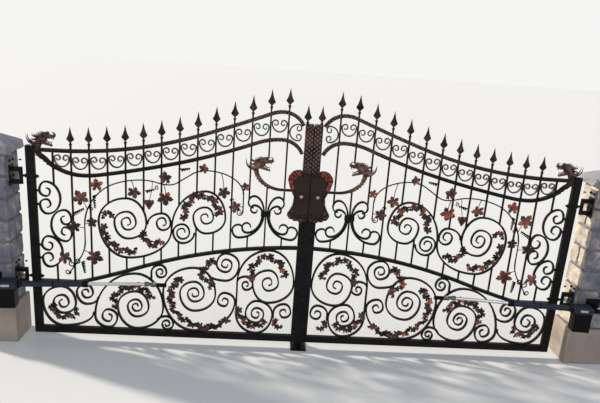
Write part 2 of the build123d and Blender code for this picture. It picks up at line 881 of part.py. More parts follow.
def make_shield():
    """Half of the lock shield: an eared plate on the face of the meeting stile, its rim raised."""
    edge = -leaf_gap / 2 - seat_gap
    ear_root = (-48.0, shield_top - 20.0)
    ear_top = (-100.0, shield_top)
    lip = (-118.0, shield_bottom + 12.0)
    cusp = (-62.0, shield_bottom + 16.0)

    def edge_line():
        ThreePointArc(ear_root, (-70.0, shield_top - 4.0), ear_top)
        ThreePointArc(ear_top, (-148.0, shield_top - 28.0), shield_ear)
        ThreePointArc(shield_ear, (-134.0, 1226.0), shield_waist)
        ThreePointArc(shield_waist, (-122.0, 1110.0), shield_foot)
        ThreePointArc(shield_foot, (-150.0, shield_bottom + 30.0), lip)
        ThreePointArc(lip, (-90.0, shield_bottom), cusp)
        ThreePointArc(cusp, (-34.0, shield_bottom + 2.0), (edge, shield_bottom + 22.0))

    with BuildPart() as builder:
        with BuildSketch(leaf_plane.offset(stile_depth / 2)):
            with BuildLine():
                edge_line()
                Polyline((edge, shield_bottom + 22.0), (edge, shield_top - 26.0), ear_root)
            make_face()
        extrude(amount=shield_plate)
        with BuildSketch(leaf_plane.offset(stile_depth / 2 + shield_plate)):
            with BuildLine():
                edge_line()
                Polyline((edge, shield_bottom + 22.0), (edge, shield_top - 26.0), ear_root)
            make_face()
            offset(amount=-shield_rim, mode=Mode.SUBTRACT)
        extrude(amount=shield_rim_height)
        with BuildSketch(leaf_plane.offset(stile_depth / 2 + shield_plate)):
            with Locations(shield_knob):
                Circle(shield_knob_radius)
        extrude(amount=shield_knob_height)
    return builder


# Vine: stems in front of the pickets, five-lobed leaves

def draw_leaf(size):
    """Five pointed lobes with bulging edges."""
    corners = []
    for lobe in range(5):
        for turn, reach in ((54 + 72 * lobe, leaf_notch), (90 + 72 * lobe, 1.0 if lobe == 0 else leaf_side_lobe)):
            corners.append((size * reach * cos(radians(turn)), size * reach * sin(radians(turn))))
    with BuildLine() as outline:
        for first, second in zip(corners, corners[1:] + corners[:1]):
            middle = (leaf_bulge * (first[0] + second[0]) / 2, leaf_bulge * (first[1] + second[1]) / 2)
            ThreePointArc(first, middle, second)
    make_face(outline.edges())


trunk_x = -1612.0
trunk_top = 870.0
tail_x = -476.0
tail_foot = (-500.0, 1008.0)
tail_bend = 1042.0
upper_stem = Rail(
    (trunk_x, trunk_top), 90.0,
    [(-1560.0, 58.0), (-1490.0, 42.0), (-1400.0, 22.0), (-1190.0, 0.0), (-1090.0, -16.0), (-1015.0, 0.0),
     (-950.0, 34.0), (-850.0, 34.0), (-740.0, 0.0), (-620.0, -17.0), (-540.0, -34.0), (-480.0, -75.0),
     (tail_x, -90.0)],
    stem,
)
lower_stem = Rail(
    (-1738.0, 482.0), 62.0,
    [(-1700.0, 54.0), (-1650.0, 58.0), (-1622.0, 74.0), (trunk_x, 90.0)],
    stem,
)


def on_stem(line, x):
    return (x, line.at(x)[0])


# Each leaf: its root on the stem, its centre, its size and the turn of its tip
vine_leaves = [
    (on_stem(upper_stem, -1590.0), (-1632.0, 1076.0), 50.0, 30.0),
    (on_stem(upper_stem, -1500.0), (-1520.0, 1176.0), 40.0, 10.0),
    ((trunk_x, 850.0), (-1684.0, 858.0), 42.0, 80.0),
    ((trunk_x, 880.0), (-1560.0, 900.0), 36.0, -70.0),
    (on_stem(lower_stem, -1690.0), (-1758.0, 612.0), 42.0, 40.0),
    (on_stem(lower_stem, -1622.0), (-1548.0, 626.0), 54.0, -110.0),
    (on_stem(upper_stem, -1276.0), (-1258.0, 1138.0), 40.0, 190.0),
    (on_stem(upper_stem, -1030.0), (-1034.0, 1258.0), 42.0, 5.0),
    (on_stem(upper_stem, -1046.0), (-1036.0, 1112.0), 50.0, 185.0),
    (on_stem(upper_stem, -790.0), (-766.0, 1340.0), 32.0, -10.0),
    (on_stem(upper_stem, -640.0), (-620.0, 1178.0), 40.0, 190.0),
    (on_stem(upper_stem, -500.0), (-466.0, 1226.0), 30.0, -60.0),
    ((tail_x, 1076.0), (-530.0, 1070.0), 38.0, 90.0),
]
grape_root = on_stem(upper_stem, -1126.0)
grape_top = (-1150.0, 1078.0)


def draw_grapes():
    """A cluster of round berries, widest at its top."""
    for row, number in enumerate(grape_rows):
        for index in range(number):
            x = grape_top[0] + (index - (number - 1) / 2) * grape_pitch
            with Locations((x, grape_top[1] - row * grape_pitch * 0.85)):
                Circle(grape)


def make_vine():
    """Stems in front of the pickets, and leaves in front of the scrolls."""
    climb = ("line", (trunk_x, lower_stem.end[1] - trunk), (trunk_x, trunk_top + trunk))
    tail = [
        ("line", (tail_x, upper_stem.end[1] + trunk), (tail_x, tail_bend)),
        quarter((tail_x, tail_bend), tail_foot, True),
    ]
    with BuildPart() as builder:
        with BuildSketch(leaf_plane.offset(picket / 2 + seat_gap)):
            for line in (upper_stem, lower_stem):
                with BuildLine():
                    line.draw()
                make_face()
            draw_bar([climb], trunk)
            draw_bar(tail, trunk)
            for root, centre, _, _ in vine_leaves:
                draw_bar([("line", root, centre)], petiole)
            draw_bar([("line", grape_root, grape_top)], petiole)
        extrude(amount=vine_plate)
        with BuildSketch(leaf_plane.offset(bar_depth / 2 + seat_gap)):
            for _, centre, size, turn in vine_leaves:
                with Locations(Location((*centre, 0), (0, 0, turn))):
                    with BuildSketch(mode=Mode.PRIVATE) as blade:
                        draw_leaf(size)
                    add(blade.sketch)
            draw_grapes()
        extrude(amount=vine_plate)
    return builder


# Garlands: leafy sprays on the faces of the scrolls, each swinging about an eye
# Each spray: first and last angle about the eye, first and last distance from it

corner_sprays = [(180.0, 340.0, 68.0, 128.0)]
second_sprays = [(186.0, 158.0, 140.0, 174.0), (158.0, 30.0, 174.0, 140.0)]
third_sprays = [
    (126.0, 180.0, 150.0, 176.0), (180.0, 255.0, 176.0, 208.0), (255.0, 326.0, 208.0, 318.0),
    (80.0, 24.0, 152.0, 146.0),
]
hanging_sprays = [(200.0, 158.0, 182.0, 88.0)]
fourth_sprays = [(168.0, 142.0, 118.0, 172.0), (142.0, 95.0, 172.0, 204.0), (95.0, 26.0, 204.0, 130.0)]
fifth_sprays = [(157.0, 215.0, 154.0, 96.0), (215.0, 330.0, 96.0, 74.0)]
last_sprays = [(206.0, 262.0, 88.0, 122.0)]
round_sprays = [(146.0, 166.0, 100.0, 186.0), (184.0, 290.0, 172.0, 206.0)]
bay_eye = (-1116.0, 836.0)
bay_sprays = [(166.0, 320.0, 78.0, 78.0)]
high_sprays = [(188.0, 110.0, 150.0, 166.0), (110.0, 16.0, 166.0, 98.0)]


def garland_sprays(rail):
    """Every spray with its eye."""
    lower = lower_panel(rail)
    eyes = [
        (lower["corner"][0][1], corner_sprays), (lower["second"][-1][1], second_sprays),
        (lower["third"][0][1], third_sprays), (lower["hanging"][0][1], hanging_sprays),
        (lower["fourth"][0][1], fourth_sprays), (lower["fifth"][-1][1], fifth_sprays), (last_eye, last_sprays),
        (round_eye, round_sprays), (bay_eye, bay_sprays), (high_eye, high_sprays),
    ]
    return [(eye, *spray) for eye, sprays in eyes for spray in sprays]


def spray_place(spray, share):
    """Point at a share of the way along a spray, and the vector along it there."""
    eye, first, last, start, end = spray
    turn = radians(first + (last - first) * share)
    swing = radians(last - first)
    distance = start + (end - start) * share
    point = (eye[0] + distance * cos(turn), eye[1] + distance * rise * sin(turn))
    along = (
        (end - start) * cos(turn) - distance * swing * sin(turn),
        rise * ((end - start) * sin(turn) + distance * swing * cos(turn)),
    )
    return point, along


def beside_spray(spray, share, aside):
    """Point beside a spray."""
    (x, z), (across, up) = spray_place(spray, share)
    length = hypot(across, up)
    return (x - aside * up / length, z + aside * across / length)


def draw_spray(spray):
    """The stem of a spray and its leaves, swaying to either side."""
    edges = []
    for side in (-1, 1):
        edges.append([beside_spray(spray, step / 6, side * garland_stem / 2) for step in range(7)])
    with BuildLine() as outline:
        for points in edges:
            Spline(points)
        Line(edges[0][0], edges[1][0])
        Line(edges[0][-1], edges[1][-1])
    make_face(outline.edges())
    length = sum(hypot(*spray_place(spray, (step + 0.5) / 8)[1]) for step in range(8)) / 8
    number = max(2, round(length / garland_leaf_step))
    for index in range(number):
        share = (index + 0.5) / number
        centre = beside_spray(spray, share, garland_sway * (-1) ** index)
        with Locations(Location((*centre, 0), (0, 0, 137 * index + spray[1]))):
            with BuildSketch(mode=Mode.PRIVATE) as blade:
                draw_leaf(garland_leaf_size)
            add(blade.sketch)


def make_garlands():
    """Stems and leaves of the garlands, fused."""
    with BuildPart() as builder:
        with BuildSketch(leaf_plane.offset(bar_depth / 2 + seat_gap)):
            for spray in garland_sprays(mid_rail_line):
                draw_spray(spray)
        extrude(amount=vine_plate)
    return builder


# Stiles, bottom rail, hinges

def make_hinge_stile():
    """Hinge stile with a cross hole for each hinge bolt."""
    with BuildPart() as builder:
        leaf_box(-hinge_stile_outer, stile_face, 0, hinge_stile_height, -stile_depth / 2, stile_depth / 2)
        with Locations(*[(stile_face - hinge_stile_width / 2, 0, height) for height in hinge_heights]):
            Cylinder(
                hinge_eye_bolt / 2 + seat_gap, hinge_stile_width * 2, rotation=(0, 90, 0), mode=Mode.SUBTRACT
            )
    return builder


def make_meeting_stile():
    with BuildPart() as builder:
        leaf_box(meeting_face, -leaf_gap / 2, 0, meeting_stile_height, -stile_depth / 2, stile_depth / 2)
    return builder


def make_bottom_rail():
    with BuildPart() as builder:
        leaf_box(stile_face, meeting_face, 0, bottom_rail_height, -bottom_rail_depth / 2, bottom_rail_depth / 2)
    return builder


def make_hinge_eyes():
    """Eyes that turn on the pins, their bolts through the stile, and nuts on both faces."""
    bolt_start = hinge_axis_left + hinge_barrel_radius / 2
    bolt_end = stile_face + hinge_nut_length + 10
    with BuildPart() as builder:
        for height in hinge_heights:
            with Locations((hinge_axis_left, 0, height)):
                Cylinder(hinge_barrel_radius, hinge_barrel_height)
            with Locations(((bolt_start + bolt_end) / 2, 0, height)):
                Cylinder(hinge_eye_bolt / 2, bolt_end - bolt_start, rotation=(0, 90, 0))
            for x in (-hinge_stile_outer - seat_gap - hinge_nut_length, stile_face + seat_gap):
                with BuildSketch(Plane(origin=(x, 0, height), z_dir=(1, 0, 0))):
                    RegularPolygon(hinge_nut / 2, 6)
                extrude(amount=hinge_nut_length)
            with Locations((hinge_axis_left, 0, height)):
                Cylinder(hinge_pin_radius + hinge_pin_clearance, hinge_barrel_height * 2, mode=Mode.SUBTRACT)
    return builder


def make_hinge_pins():
    """Plates on the pier's reveal, two arms each, and the pin between them."""
    arm = hinge_barrel_height / 2 + hinge_running_gap
    plate_face = -pier_reveal_x + hinge_plate_thickness
    arm_end = hinge_axis_left + hinge_barrel_radius
    with BuildPart() as builder:
        for height in hinge_heights:
            with Locations((-pier_reveal_x + hinge_plate_thickness / 2, 0, height)):
                Box(hinge_plate_thickness, hinge_plate_width, hinge_plate_height)
            for side in (-1, 1):
                middle = height + side * (arm + hinge_knuckle_height / 2)
                with Locations(((plate_face + hinge_axis_left) / 2, 0, middle)):
                    Box(hinge_axis_left - plate_face, 2 * hinge_barrel_radius, hinge_knuckle_height)
                with Locations((hinge_axis_left, 0, middle)):
                    Cylinder(hinge_barrel_radius, hinge_knuckle_height)
            with Locations((hinge_axis_left, 0, height)):
                Cylinder(hinge_pin_radius, 2 * arm + hinge_knuckle_height)
    return builder


# Piers

pier_centre = (-pier_reveal_x - pier_width / 2, (pier_front_y + pier_back_y) / 2)
pier_depth = pier_back_y - pier_front_y


def make_pier():
    """Square shaft on a wider foot."""
    with BuildPart() as builder:
        with Locations((*pier_centre, foot_height / 2)):
            Box(pier_width + 2 * foot_projection, pier_depth + 2 * foot_projection, foot_height)
        with Locations((*pier_centre, pier_height / 2)):
            Box(pier_width, pier_depth, pier_height)
    return builder


def make_cap():
    """Cap with a square edge and a weathered top."""
    length = pier_width + 2 * cap_overhang
    depth = pier_depth + 2 * cap_overhang
    with BuildPart() as builder:
        with BuildSketch(Plane.XY.offset(pier_height)):
            with Locations(pier_centre):
                Rectangle(length, depth)
        extrude(amount=cap_edge)
        with BuildSketch(Plane.XY.offset(pier_height + cap_edge)):
            with Locations(pier_centre):
                Rectangle(length, depth)
        with BuildSketch(Plane.XY.offset(pier_height + cap_edge + cap_rise)):
            with Locations(pier_centre):
                Rectangle(length - 2 * cap_top_inset, depth - 2 * cap_top_inset)
        loft()
    return builder


# Gate operator, drawn along its own axis from the rear pivot

operator_pivot = (-hinge_axis_x - operator_pivot_out, -operator_pivot_in)
front_pivot = (-hinge_axis_x + operator_front_reach, -operator_front_offset)
operator_span = (front_pivot[0] - operator_pivot[0], front_pivot[1] - operator_pivot[1])
operator_length = hypot(*operator_span)
operator_angle = degrees(atan2(operator_span[1], operator_span[0]))
operator_plane = Plane(
    origin=(operator_pivot[0], operator_pivot[1], operator_height),
    x_dir=(cos(radians(operator_angle)), sin(radians(operator_angle)), 0),
    z_dir=(0, 0, 1),
)
across_plane = Plane(
    origin=operator_plane.origin, x_dir=operator_plane.y_dir, z_dir=operator_plane.x_dir
)
housing_front = housing_back + housing_length


def make_housing():
    """Motor housing with the lug that turns on the bracket's pin."""
    with BuildPart() as builder:
        with BuildSketch(operator_plane.offset(-housing_bottom)):
            with Locations((housing_back + housing_length / 2, 0)):
                RectangleRounded(housing_length, housing_width, housing_corner)
        extrude(amount=housing_bottom + housing_top)
        with BuildSketch(operator_plane.offset(-eye_thickness / 2)):
            with Locations(((housing_back + 5) / 2, 0)):
                Rectangle(housing_back + 5, 2 * eye_radius)
            Circle(eye_radius)
            Circle(pivot_pin_radius + hinge_pin_clearance, mode=Mode.SUBTRACT)
        extrude(amount=eye_thickness)
    return builder


def make_tube():
    """Outer tube, bored for the rod, with a thicker ring at its mouth."""
    with BuildPart() as builder:
        with BuildSketch(across_plane.offset(housing_front + seat_gap)):
            Circle(tube_radius)
        extrude(amount=tube_end_reach - housing_front - seat_gap)
        with BuildSketch(across_plane.offset(tube_end_reach - tube_ring)):
            Circle(tube_radius + tube_ring_step)
        extrude(amount=tube_ring)
        with BuildSketch(across_plane.offset(housing_front + tube_floor)):
            Circle(rod_radius + rod_running_gap)
        extrude(amount=tube_end_reach - housing_front, mode=Mode.SUBTRACT)
    return builder


rod_start = tube_end_reach - rod_overlap
eye_neck = operator_length - rod_eye_reach


def make_rod():
    with BuildPart() as builder:
        with BuildSketch(across_plane.offset(rod_start)):
            Circle(rod_radius)
        extrude(amount=eye_neck - seat_gap - rod_start)
    return builder


def make_rod_eye():
    """Collar and flat eye on the rod's end."""
    with BuildPart() as builder:
        with BuildSketch(across_plane.offset(eye_neck)):
            Circle(rod_radius + rod_collar_step)
        extrude(amount=rod_collar_length)
        with BuildSketch(operator_plane.offset(-eye_thickness / 2)):
            with Locations(((eye_neck + 20 + operator_length) / 2, 0)):
                Rectangle(operator_length - eye_neck - 20, 1.6 * eye_radius)
            with Locations((operator_length, 0)):
                Circle(eye_radius)
                Circle(eye_hole_radius, mode=Mode.SUBTRACT)
        extrude(amount=eye_thickness)
    return builder


def make_operator_bracket():
    """Plate on the pier, two ears and the pin that the housing's lug turns on."""
    ear = eye_thickness / 2 + hinge_running_gap
    plate_y = pier_front_y - clevis_plate
    with BuildPart() as builder:
        with Locations((operator_pivot[0], pier_front_y - clevis_plate / 2, operator_height)):
            Box(bracket_plate[0], clevis_plate, bracket_plate[1])
        for level in (ear, -ear - clevis_plate):
            with BuildSketch(Plane.XY.offset(operator_height + level)):
                with Locations((operator_pivot[0], (plate_y + operator_pivot[1]) / 2)):
                    Rectangle(2 * eye_radius, plate_y - operator_pivot[1])
                with Locations(operator_pivot):
                    Circle(eye_radius)
            extrude(amount=clevis_plate)
        with Locations((*operator_pivot, operator_height)):
            Cylinder(pivot_pin_radius, 2 * (ear + clevis_plate) + 8)
    return builder


def make_operator_lug():
    """Bar across the scrolls with the flat lug under the rod's eye."""
    top = operator_height - eye_thickness / 2 - seat_gap
    back = -bar_depth / 2 - seat_gap
    with BuildPart() as builder:
        with Locations((sum(lug_bar_ends) / 2, back - lug_thickness / 2, top - lug_bar_height / 2)):
            Box(lug_bar_ends[1] - lug_bar_ends[0], lug_thickness, lug_bar_height)
        with BuildSketch(Plane.XY.offset(top - lug_thickness)):
            with Locations((front_pivot[0], (back - lug_thickness / 2 + front_pivot[1]) / 2)):
                Rectangle(2 * eye_radius, back - lug_thickness / 2 - front_pivot[1])
            with Locations(front_pivot):
                Circle(eye_radius)
                Circle(eye_hole_radius, mode=Mode.SUBTRACT)
        extrude(amount=lug_thickness)
    return builder


def make_ground_stop():
    """Plate on the ground and the block behind the leaves."""
    block_y = stile_depth / 2 + stop_clearance
    with BuildPart() as builder:
        with Locations((0, 0, stop_plate[2] / 2)):
            Box(*stop_plate)
        with Locations((0, block_y + stop_block[1] / 2, stop_block[2] / 2)):
            Box(*stop_block)
    return builder


# Write every piece once on the left and once mirrored to the right

def write(part, name):
    part.label = name
    export_step(part, f"parts/{name}.step")


def write_pair(builder, name):
    write(builder.part, f"left_{name}")
    with BuildPart() as right:
        add(mirror(builder.part, about=Plane.YZ))
    write(right.part, f"right_{name}")


os.makedirs("parts", exist_ok=True)
write_pair(make_hinge_stile(), "hinge_stile")
write_pair(make_meeting_stile(), "meeting_stile")
write_pair(make_bottom_rail(), "bottom_rail")
write_pair(make_rail(mid_rail_line, []), "mid_rail")
write_pair(make_rail(upper_crest_line, picket_positions[:-1]), "upper_crest_rail")
write_pair(make_rail(lower_crest_line, picket_positions), "lower_crest_rail")
write_pair(make_pickets(), "pickets")
write_pair(make_finials(), "finials")
write_pair(solid_bars(crest_bars(upper_crest_line, lower_crest_line), crest_bar, crest_bar_depth), "crest_scrolls")
write_pair(solid_bars(lower_panel(mid_rail_line).values(), bar, bar_depth), "lower_scrolls")
write_pair(solid_bars(upper_panel() + side_scrolls(), bar, bar_depth), "upper_scrolls")
write_pair(make_lyre(), "lyre_scrolls")
write_pair(make_corner_dragon(), "corner_dragon")
write_pair(make_inner_dragon(), "inner_dragon")
write_pair(make_shield(), "lock_shield")
write_pair(make_vine(), "vine")
write_pair(make_garlands(), "garlands")
write_pair(make_hinge_eyes(), "hinge_eyes")
write_pair(make_operator_lug(), "operator_lug")
write_pair(make_hinge_pins(), "hinge_pins")
write_pair(make_pier(), "pier")
write_pair(make_cap(), "pier_cap")
write_pair(make_operator_bracket(), "operator_bracket")
write_pair(make_housing(), "operator_housing")
write_pair(make_tube(), "operator_tube")
write_pair(make_rod(), "operator_rod")
write_pair(make_rod_eye(), "operator_eye")
write(make_ground_stop().part, "ground_stop")
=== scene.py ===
from itertools import product
from math import atan2, ceil, cos, hypot, pi, radians, sin
import bpy
import numpy as np
from mathutils import Matrix, Vector, noise


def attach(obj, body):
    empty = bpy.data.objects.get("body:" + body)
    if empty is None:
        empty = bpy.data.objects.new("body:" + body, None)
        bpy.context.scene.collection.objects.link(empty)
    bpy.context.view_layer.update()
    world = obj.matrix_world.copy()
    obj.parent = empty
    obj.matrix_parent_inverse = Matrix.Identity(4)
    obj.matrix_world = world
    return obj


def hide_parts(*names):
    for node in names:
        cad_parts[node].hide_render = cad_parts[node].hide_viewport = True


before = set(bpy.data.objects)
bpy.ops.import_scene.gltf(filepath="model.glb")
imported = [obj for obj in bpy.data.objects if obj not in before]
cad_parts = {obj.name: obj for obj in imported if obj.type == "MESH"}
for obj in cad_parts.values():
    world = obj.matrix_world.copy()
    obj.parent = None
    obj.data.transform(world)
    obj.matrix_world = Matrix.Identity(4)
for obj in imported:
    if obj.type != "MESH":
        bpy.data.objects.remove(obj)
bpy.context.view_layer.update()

MM = 0.001
# The leaves' bottom edge over the ground. Heights on a leaf are measured from that edge.
GROUND = 50.0
# The volutes of the solids: taller than wide by RISE, and smaller by SHRINK with each quarter turn inwards
RISE = 1.09
SHRINK = 0.824


# Material nodes. The functions take a material, or the world, as what owns the nodes.

def node(owner, kind, **values):
    made = owner.node_tree.nodes.new(kind)
    for key, value in values.items():
        if key in made.inputs:
            made.inputs[key].default_value = value
        else:
            setattr(made, key, value)
    return made


def link(owner, out, into):
    owner.node_tree.links.new(out, into)


def maths(owner, operation, *values, clamp=False):
    """A math node. Numbers are set on its inputs, and outputs of other nodes are linked to them."""
    made = node(owner, "ShaderNodeMath", operation=operation, use_clamp=clamp)
    for value, place in zip(values, made.inputs):
        if isinstance(value, float):
            place.default_value = value
        else:
            link(owner, value, place)
    return made.outputs["Value"]


def shader_in(mat, name):
    return mat.node_tree.nodes["Principled BSDF"].inputs[name]


def coords(mat):
    return node(mat, "ShaderNodeTexCoord").outputs["Object"]


def geometry(mat, name):
    return node(mat, "ShaderNodeNewGeometry").outputs[name]


def axes_of(mat, vector):
    made = node(mat, "ShaderNodeSeparateXYZ")
    link(mat, vector, made.inputs[0])
    return made.outputs


def noise_of(mat, scale, detail=4.0, rough=0.55):
    made = node(mat, "ShaderNodeTexNoise", Scale=scale, Detail=detail, Roughness=rough)
    link(mat, coords(mat), made.inputs["Vector"])
    return made.outputs["Fac"]


def ramp(mat, factor, stops):
    made = node(mat, "ShaderNodeValToRGB")
    points = made.color_ramp.elements
    while len(points) < len(stops):
        points.new(0.5)
    for point, (place, color) in zip(points, stops):
        point.position = place
        point.color = (*color, 1)
    link(mat, factor, made.inputs["Fac"])
    return made.outputs["Color"]


def bump(mat, height, strength, distance, under=None):
    made = node(mat, "ShaderNodeBump", Strength=strength, Distance=distance)
    link(mat, height, made.inputs["Height"])
    if under is not None:
        link(mat, under, made.inputs["Normal"])
    return made.outputs["Normal"]


def span(mat, value, low, high):
    """0 up to the low value, 1 from the high one."""
    made = node(mat, "ShaderNodeMapRange", clamp=True)
    made.inputs["From Min"].default_value = low
    made.inputs["From Max"].default_value = high
    link(mat, value, made.inputs["Value"])
    return made.outputs["Result"]


def times(mat, first, second):
    return maths(mat, "MULTIPLY", first, second)


def blend_color(mat, factor, first, second):
    """The first color where the factor is 0, the second where it is 1."""
    made = node(mat, "ShaderNodeMix", data_type="RGBA")
    link(mat, factor, made.inputs[0])
    for source, place in ((first, 6), (second, 7)):
        if isinstance(source, tuple):
            made.inputs[place].default_value = (*source, 1)
        else:
            link(mat, source, made.inputs[place])
    return made.outputs[2]


def wave(mat, value, pitch):
    """A sine of a coordinate, with its period in metres."""
    return maths(mat, "SINE", times(mat, value, 2 * pi / pitch))


# Materials

def material(name, color, rough, metal=0.0, specular=0.5):
    """A material with its constants on the shader's own sockets."""
    mat = bpy.data.materials.new(name)
    mat.use_nodes = True
    shader_in(mat, "Base Color").default_value = (*color, 1)
    shader_in(mat, "Roughness").default_value = rough
    shader_in(mat, "Metallic").default_value = metal
    shader_in(mat, "Specular IOR Level").default_value = specular
    return mat


def dressed(mat, color, normal):
    """The material with a color and a normal linked to its shader."""
    link(mat, color, shader_in(mat, "Base Color"))
    link(mat, normal, shader_in(mat, "Normal"))
    return mat


def grained(name, color, rough, metal, specular, scale, strength, distance=0.001):
    """Plain paint or metal with a fine grain."""
    mat = material(name, color, rough, metal, specular)
    link(mat, bump(mat, noise_of(mat, scale), strength, distance), shader_in(mat, "Normal"))
    return mat


def make_iron(name, bronze_low, bronze_high, pattern=None):
    """Black hammered paint, brushed with bronze from one height to another, and dimpled at a pattern's two
    pitches. The raised dimples are painted a lighter brown: a painted highlight, partly wear."""
    mat = material(name, (0.010, 0.009, 0.009), 0.45, 0.0, 0.09)
    place = axes_of(mat, coords(mat))
    high = span(mat, place["Z"], bronze_low, bronze_high)
    bronzed = times(mat, high, span(mat, noise_of(mat, 11.0, 6.0), 0.36, 0.62))
    black = ramp(mat, noise_of(mat, 30.0), [(0.35, (0.005, 0.0045, 0.005)), (0.7, (0.015, 0.013, 0.013))])
    brown = ramp(mat, noise_of(mat, 55.0), [(0.35, (0.035, 0.018, 0.012)), (0.7, (0.13, 0.075, 0.05))])
    color = blend_color(mat, bronzed, black, brown)
    hammer = bump(mat, noise_of(mat, 70.0, 2.0), 0.35, 0.003)
    if pattern:
        dimple = times(mat, wave(mat, place["X"], pattern[0]), wave(mat, place["Z"], pattern[1]))
        # The raised dimples get a lighter brown: painted highlight, partly wear.
        dimple_highlight_and_wear = times(mat, high, span(mat, dimple, 0.25, 0.8))
        color = blend_color(mat, dimple_highlight_and_wear, color, (0.23, 0.155, 0.125))
        hammer = bump(mat, dimple, 0.7, 0.003, hammer)
    return dressed(mat, color, bump(mat, noise_of(mat, 400.0, 2.0), 0.1, 0.001, hammer))


def make_top_highlit_iron(name, bronzed, low, high):
    """Black iron with a light bronze painted in noise patches on the surfaces that face up: a painted
    highlight from the light above.
    """
    black = (0.022, 0.018, 0.018)
    mat = material(name, black, 0.34, 0.35)
    up = span(mat, axes_of(mat, geometry(mat, "Normal"))["Z"], low, high)
    # Painted highlight: faces turned up take the light bronze, broken into patches by noise.
    lighter_patches = times(mat, up, span(mat, noise_of(mat, 9.0, 3.0), 0.36, 0.6))
    link(mat, blend_color(mat, lighter_patches, black, bronzed), shader_in(mat, "Base Color"))
    return mat


def make_copper(name, red, scale, low, high, dark=(0.03, 0.014, 0.011), orange=None, metal=0.35,
                specular=0.5):
    """Dark bronze whose dark coat has gone in patches to red copper, with orange in places on the right half
    of the gate as painted sunlight.
    """
    mat = material(name, tuple(part * 0.6 for part in red), 0.4, metal, specular)
    lighter_patches = span(mat, noise_of(mat, scale, 5.0), low, high)
    deep = tuple(part * 0.4 for part in dark)
    color = blend_color(mat, lighter_patches, ramp(mat, noise_of(mat, 60.0), [(0.3, deep), (0.7, dark)]), red)
    if orange:
        # Painted sunlight: orange patches on the right half, where the low sun lights the leaves.
        right = span(mat, axes_of(mat, coords(mat))["X"], 0.3, 1.2)
        painted_sunlight = times(mat, right, span(mat, noise_of(mat, 15.0, 4.0), 0.49, 0.60))
        color = blend_color(mat, painted_sunlight, color, orange)
    return dressed(mat, color, bump(mat, noise_of(mat, 110.0, 3.0), 0.3, 0.003))


def make_bronze(name, bronzed, dark, low, high, side=(0.0, 0.1), height=(0.0, 0.1)):
    """Dark bronze, with a painted highlight in the brighter tone where edges and bumps stand out and in noise
    patches. It is black up to the first value of side, a distance from the middle of the gate, and of height,
    and bright from the second."""
    mat = material(name, dark, 0.33, 0.7, 0.2)
    # Pointiness: edges and bumps that stand out get the painted highlight.
    edges = span(mat, geometry(mat, "Pointiness"), low, high)
    patch = span(mat, noise_of(mat, 34.0, 5.0), 0.40, 0.66)
    highlight_and_patches = maths(mat, "MULTIPLY_ADD", patch, 0.55, edges, clamp=True)
    place = axes_of(mat, coords(mat))
    shown = times(mat, highlight_and_patches, span(mat, maths(mat, "ABSOLUTE", place["X"]), *side))
    shown = times(mat, shown, span(mat, place["Z"], *height))
    color = blend_color(mat, shown, dark, bronzed)
    return dressed(mat, color, bump(mat, noise_of(mat, 130.0, 3.0), 0.35, 0.003))


def make_stone(name, stops, scale, rough, depth, grain=90.0, painted_sunlight_stops=None):
    """Stone. Where it has a second set of stops, they show on the faces turned to the afternoon sun, as
    painted sunlight.
    """
    mat = material(name, stops[1][1], rough)
    spread = noise_of(mat, scale, 8.0, 0.65)
    color = ramp(mat, spread, stops)
    if painted_sunlight_stops:
        # Painted sunlight: faces turned to -X take the second stops.
        sunward = times(mat, axes_of(mat, geometry(mat, "Normal"))["X"], -1.0)
        color = blend_color(mat, span(mat, sunward, 0.4, 0.75), color, ramp(mat, spread, painted_sunlight_stops))
    return dressed(mat, color, bump(mat, noise_of(mat, grain, 8.0, 0.7), 0.6, depth))


iron = make_iron("iron", 1.35, 1.85)
frame_iron = make_iron("frame_iron", 1.1, 1.55, (0.036, 0.030))
notched_iron = make_iron("notched_iron", 1.5, 2.6, (0.020, 0.020))
crest_iron = make_iron("crest_iron", 1.32, 1.62)
finial_iron = make_iron("finial_iron", 1.25, 1.62)
rope_iron = make_iron("rope_iron", 1.42, 1.68, (0.026, 0.030))
# Crest scrolls: a painted highlight in light bronze on their upper faces.
scroll_iron = make_top_highlit_iron("scroll_iron", (0.60, 0.52, 0.45), 0.1, 0.8)
shield_iron = make_copper(
    "shield_iron", (0.035, 0.016, 0.012), 14.0, 0.3, 0.75, (0.014, 0.010, 0.009), metal=0.0, specular=0.2,
)
# leaf_red and leaf_brown take orange painted sunlight on the right half of the gate.
leaf_red = make_copper("leaf_red", (0.36, 0.075, 0.042), 19.0, 0.44, 0.60, orange=(0.62, 0.17, 0.05))
leaf_brown = make_copper(
    "leaf_brown", (0.18, 0.055, 0.042), 26.0, 0.45, 0.63, (0.025, 0.014, 0.012), (0.32, 0.085, 0.055),
)
leaf_dark = make_copper("leaf_dark", (0.085, 0.040, 0.033), 30.0, 0.50, 0.72, (0.015, 0.010, 0.009))
ear_red = make_copper("ear_red", (0.34, 0.045, 0.022), 18.0, 0.34, 0.56, (0.07, 0.018, 0.012))
dragon_skin = make_bronze(
    "dragon_skin", (0.44, 0.27, 0.21), (0.030, 0.016, 0.013), 0.50, 0.58, side=(0.24, 0.42),
)
corner_skin = make_bronze(
    "corner_skin", (0.20, 0.12, 0.105), (0.018, 0.011, 0.011), 0.50, 0.61, height=(1.40, 1.50),
)
grape_skin = make_bronze("grape_skin", (0.13, 0.05, 0.055), (0.018, 0.010, 0.012), 0.50, 0.72)
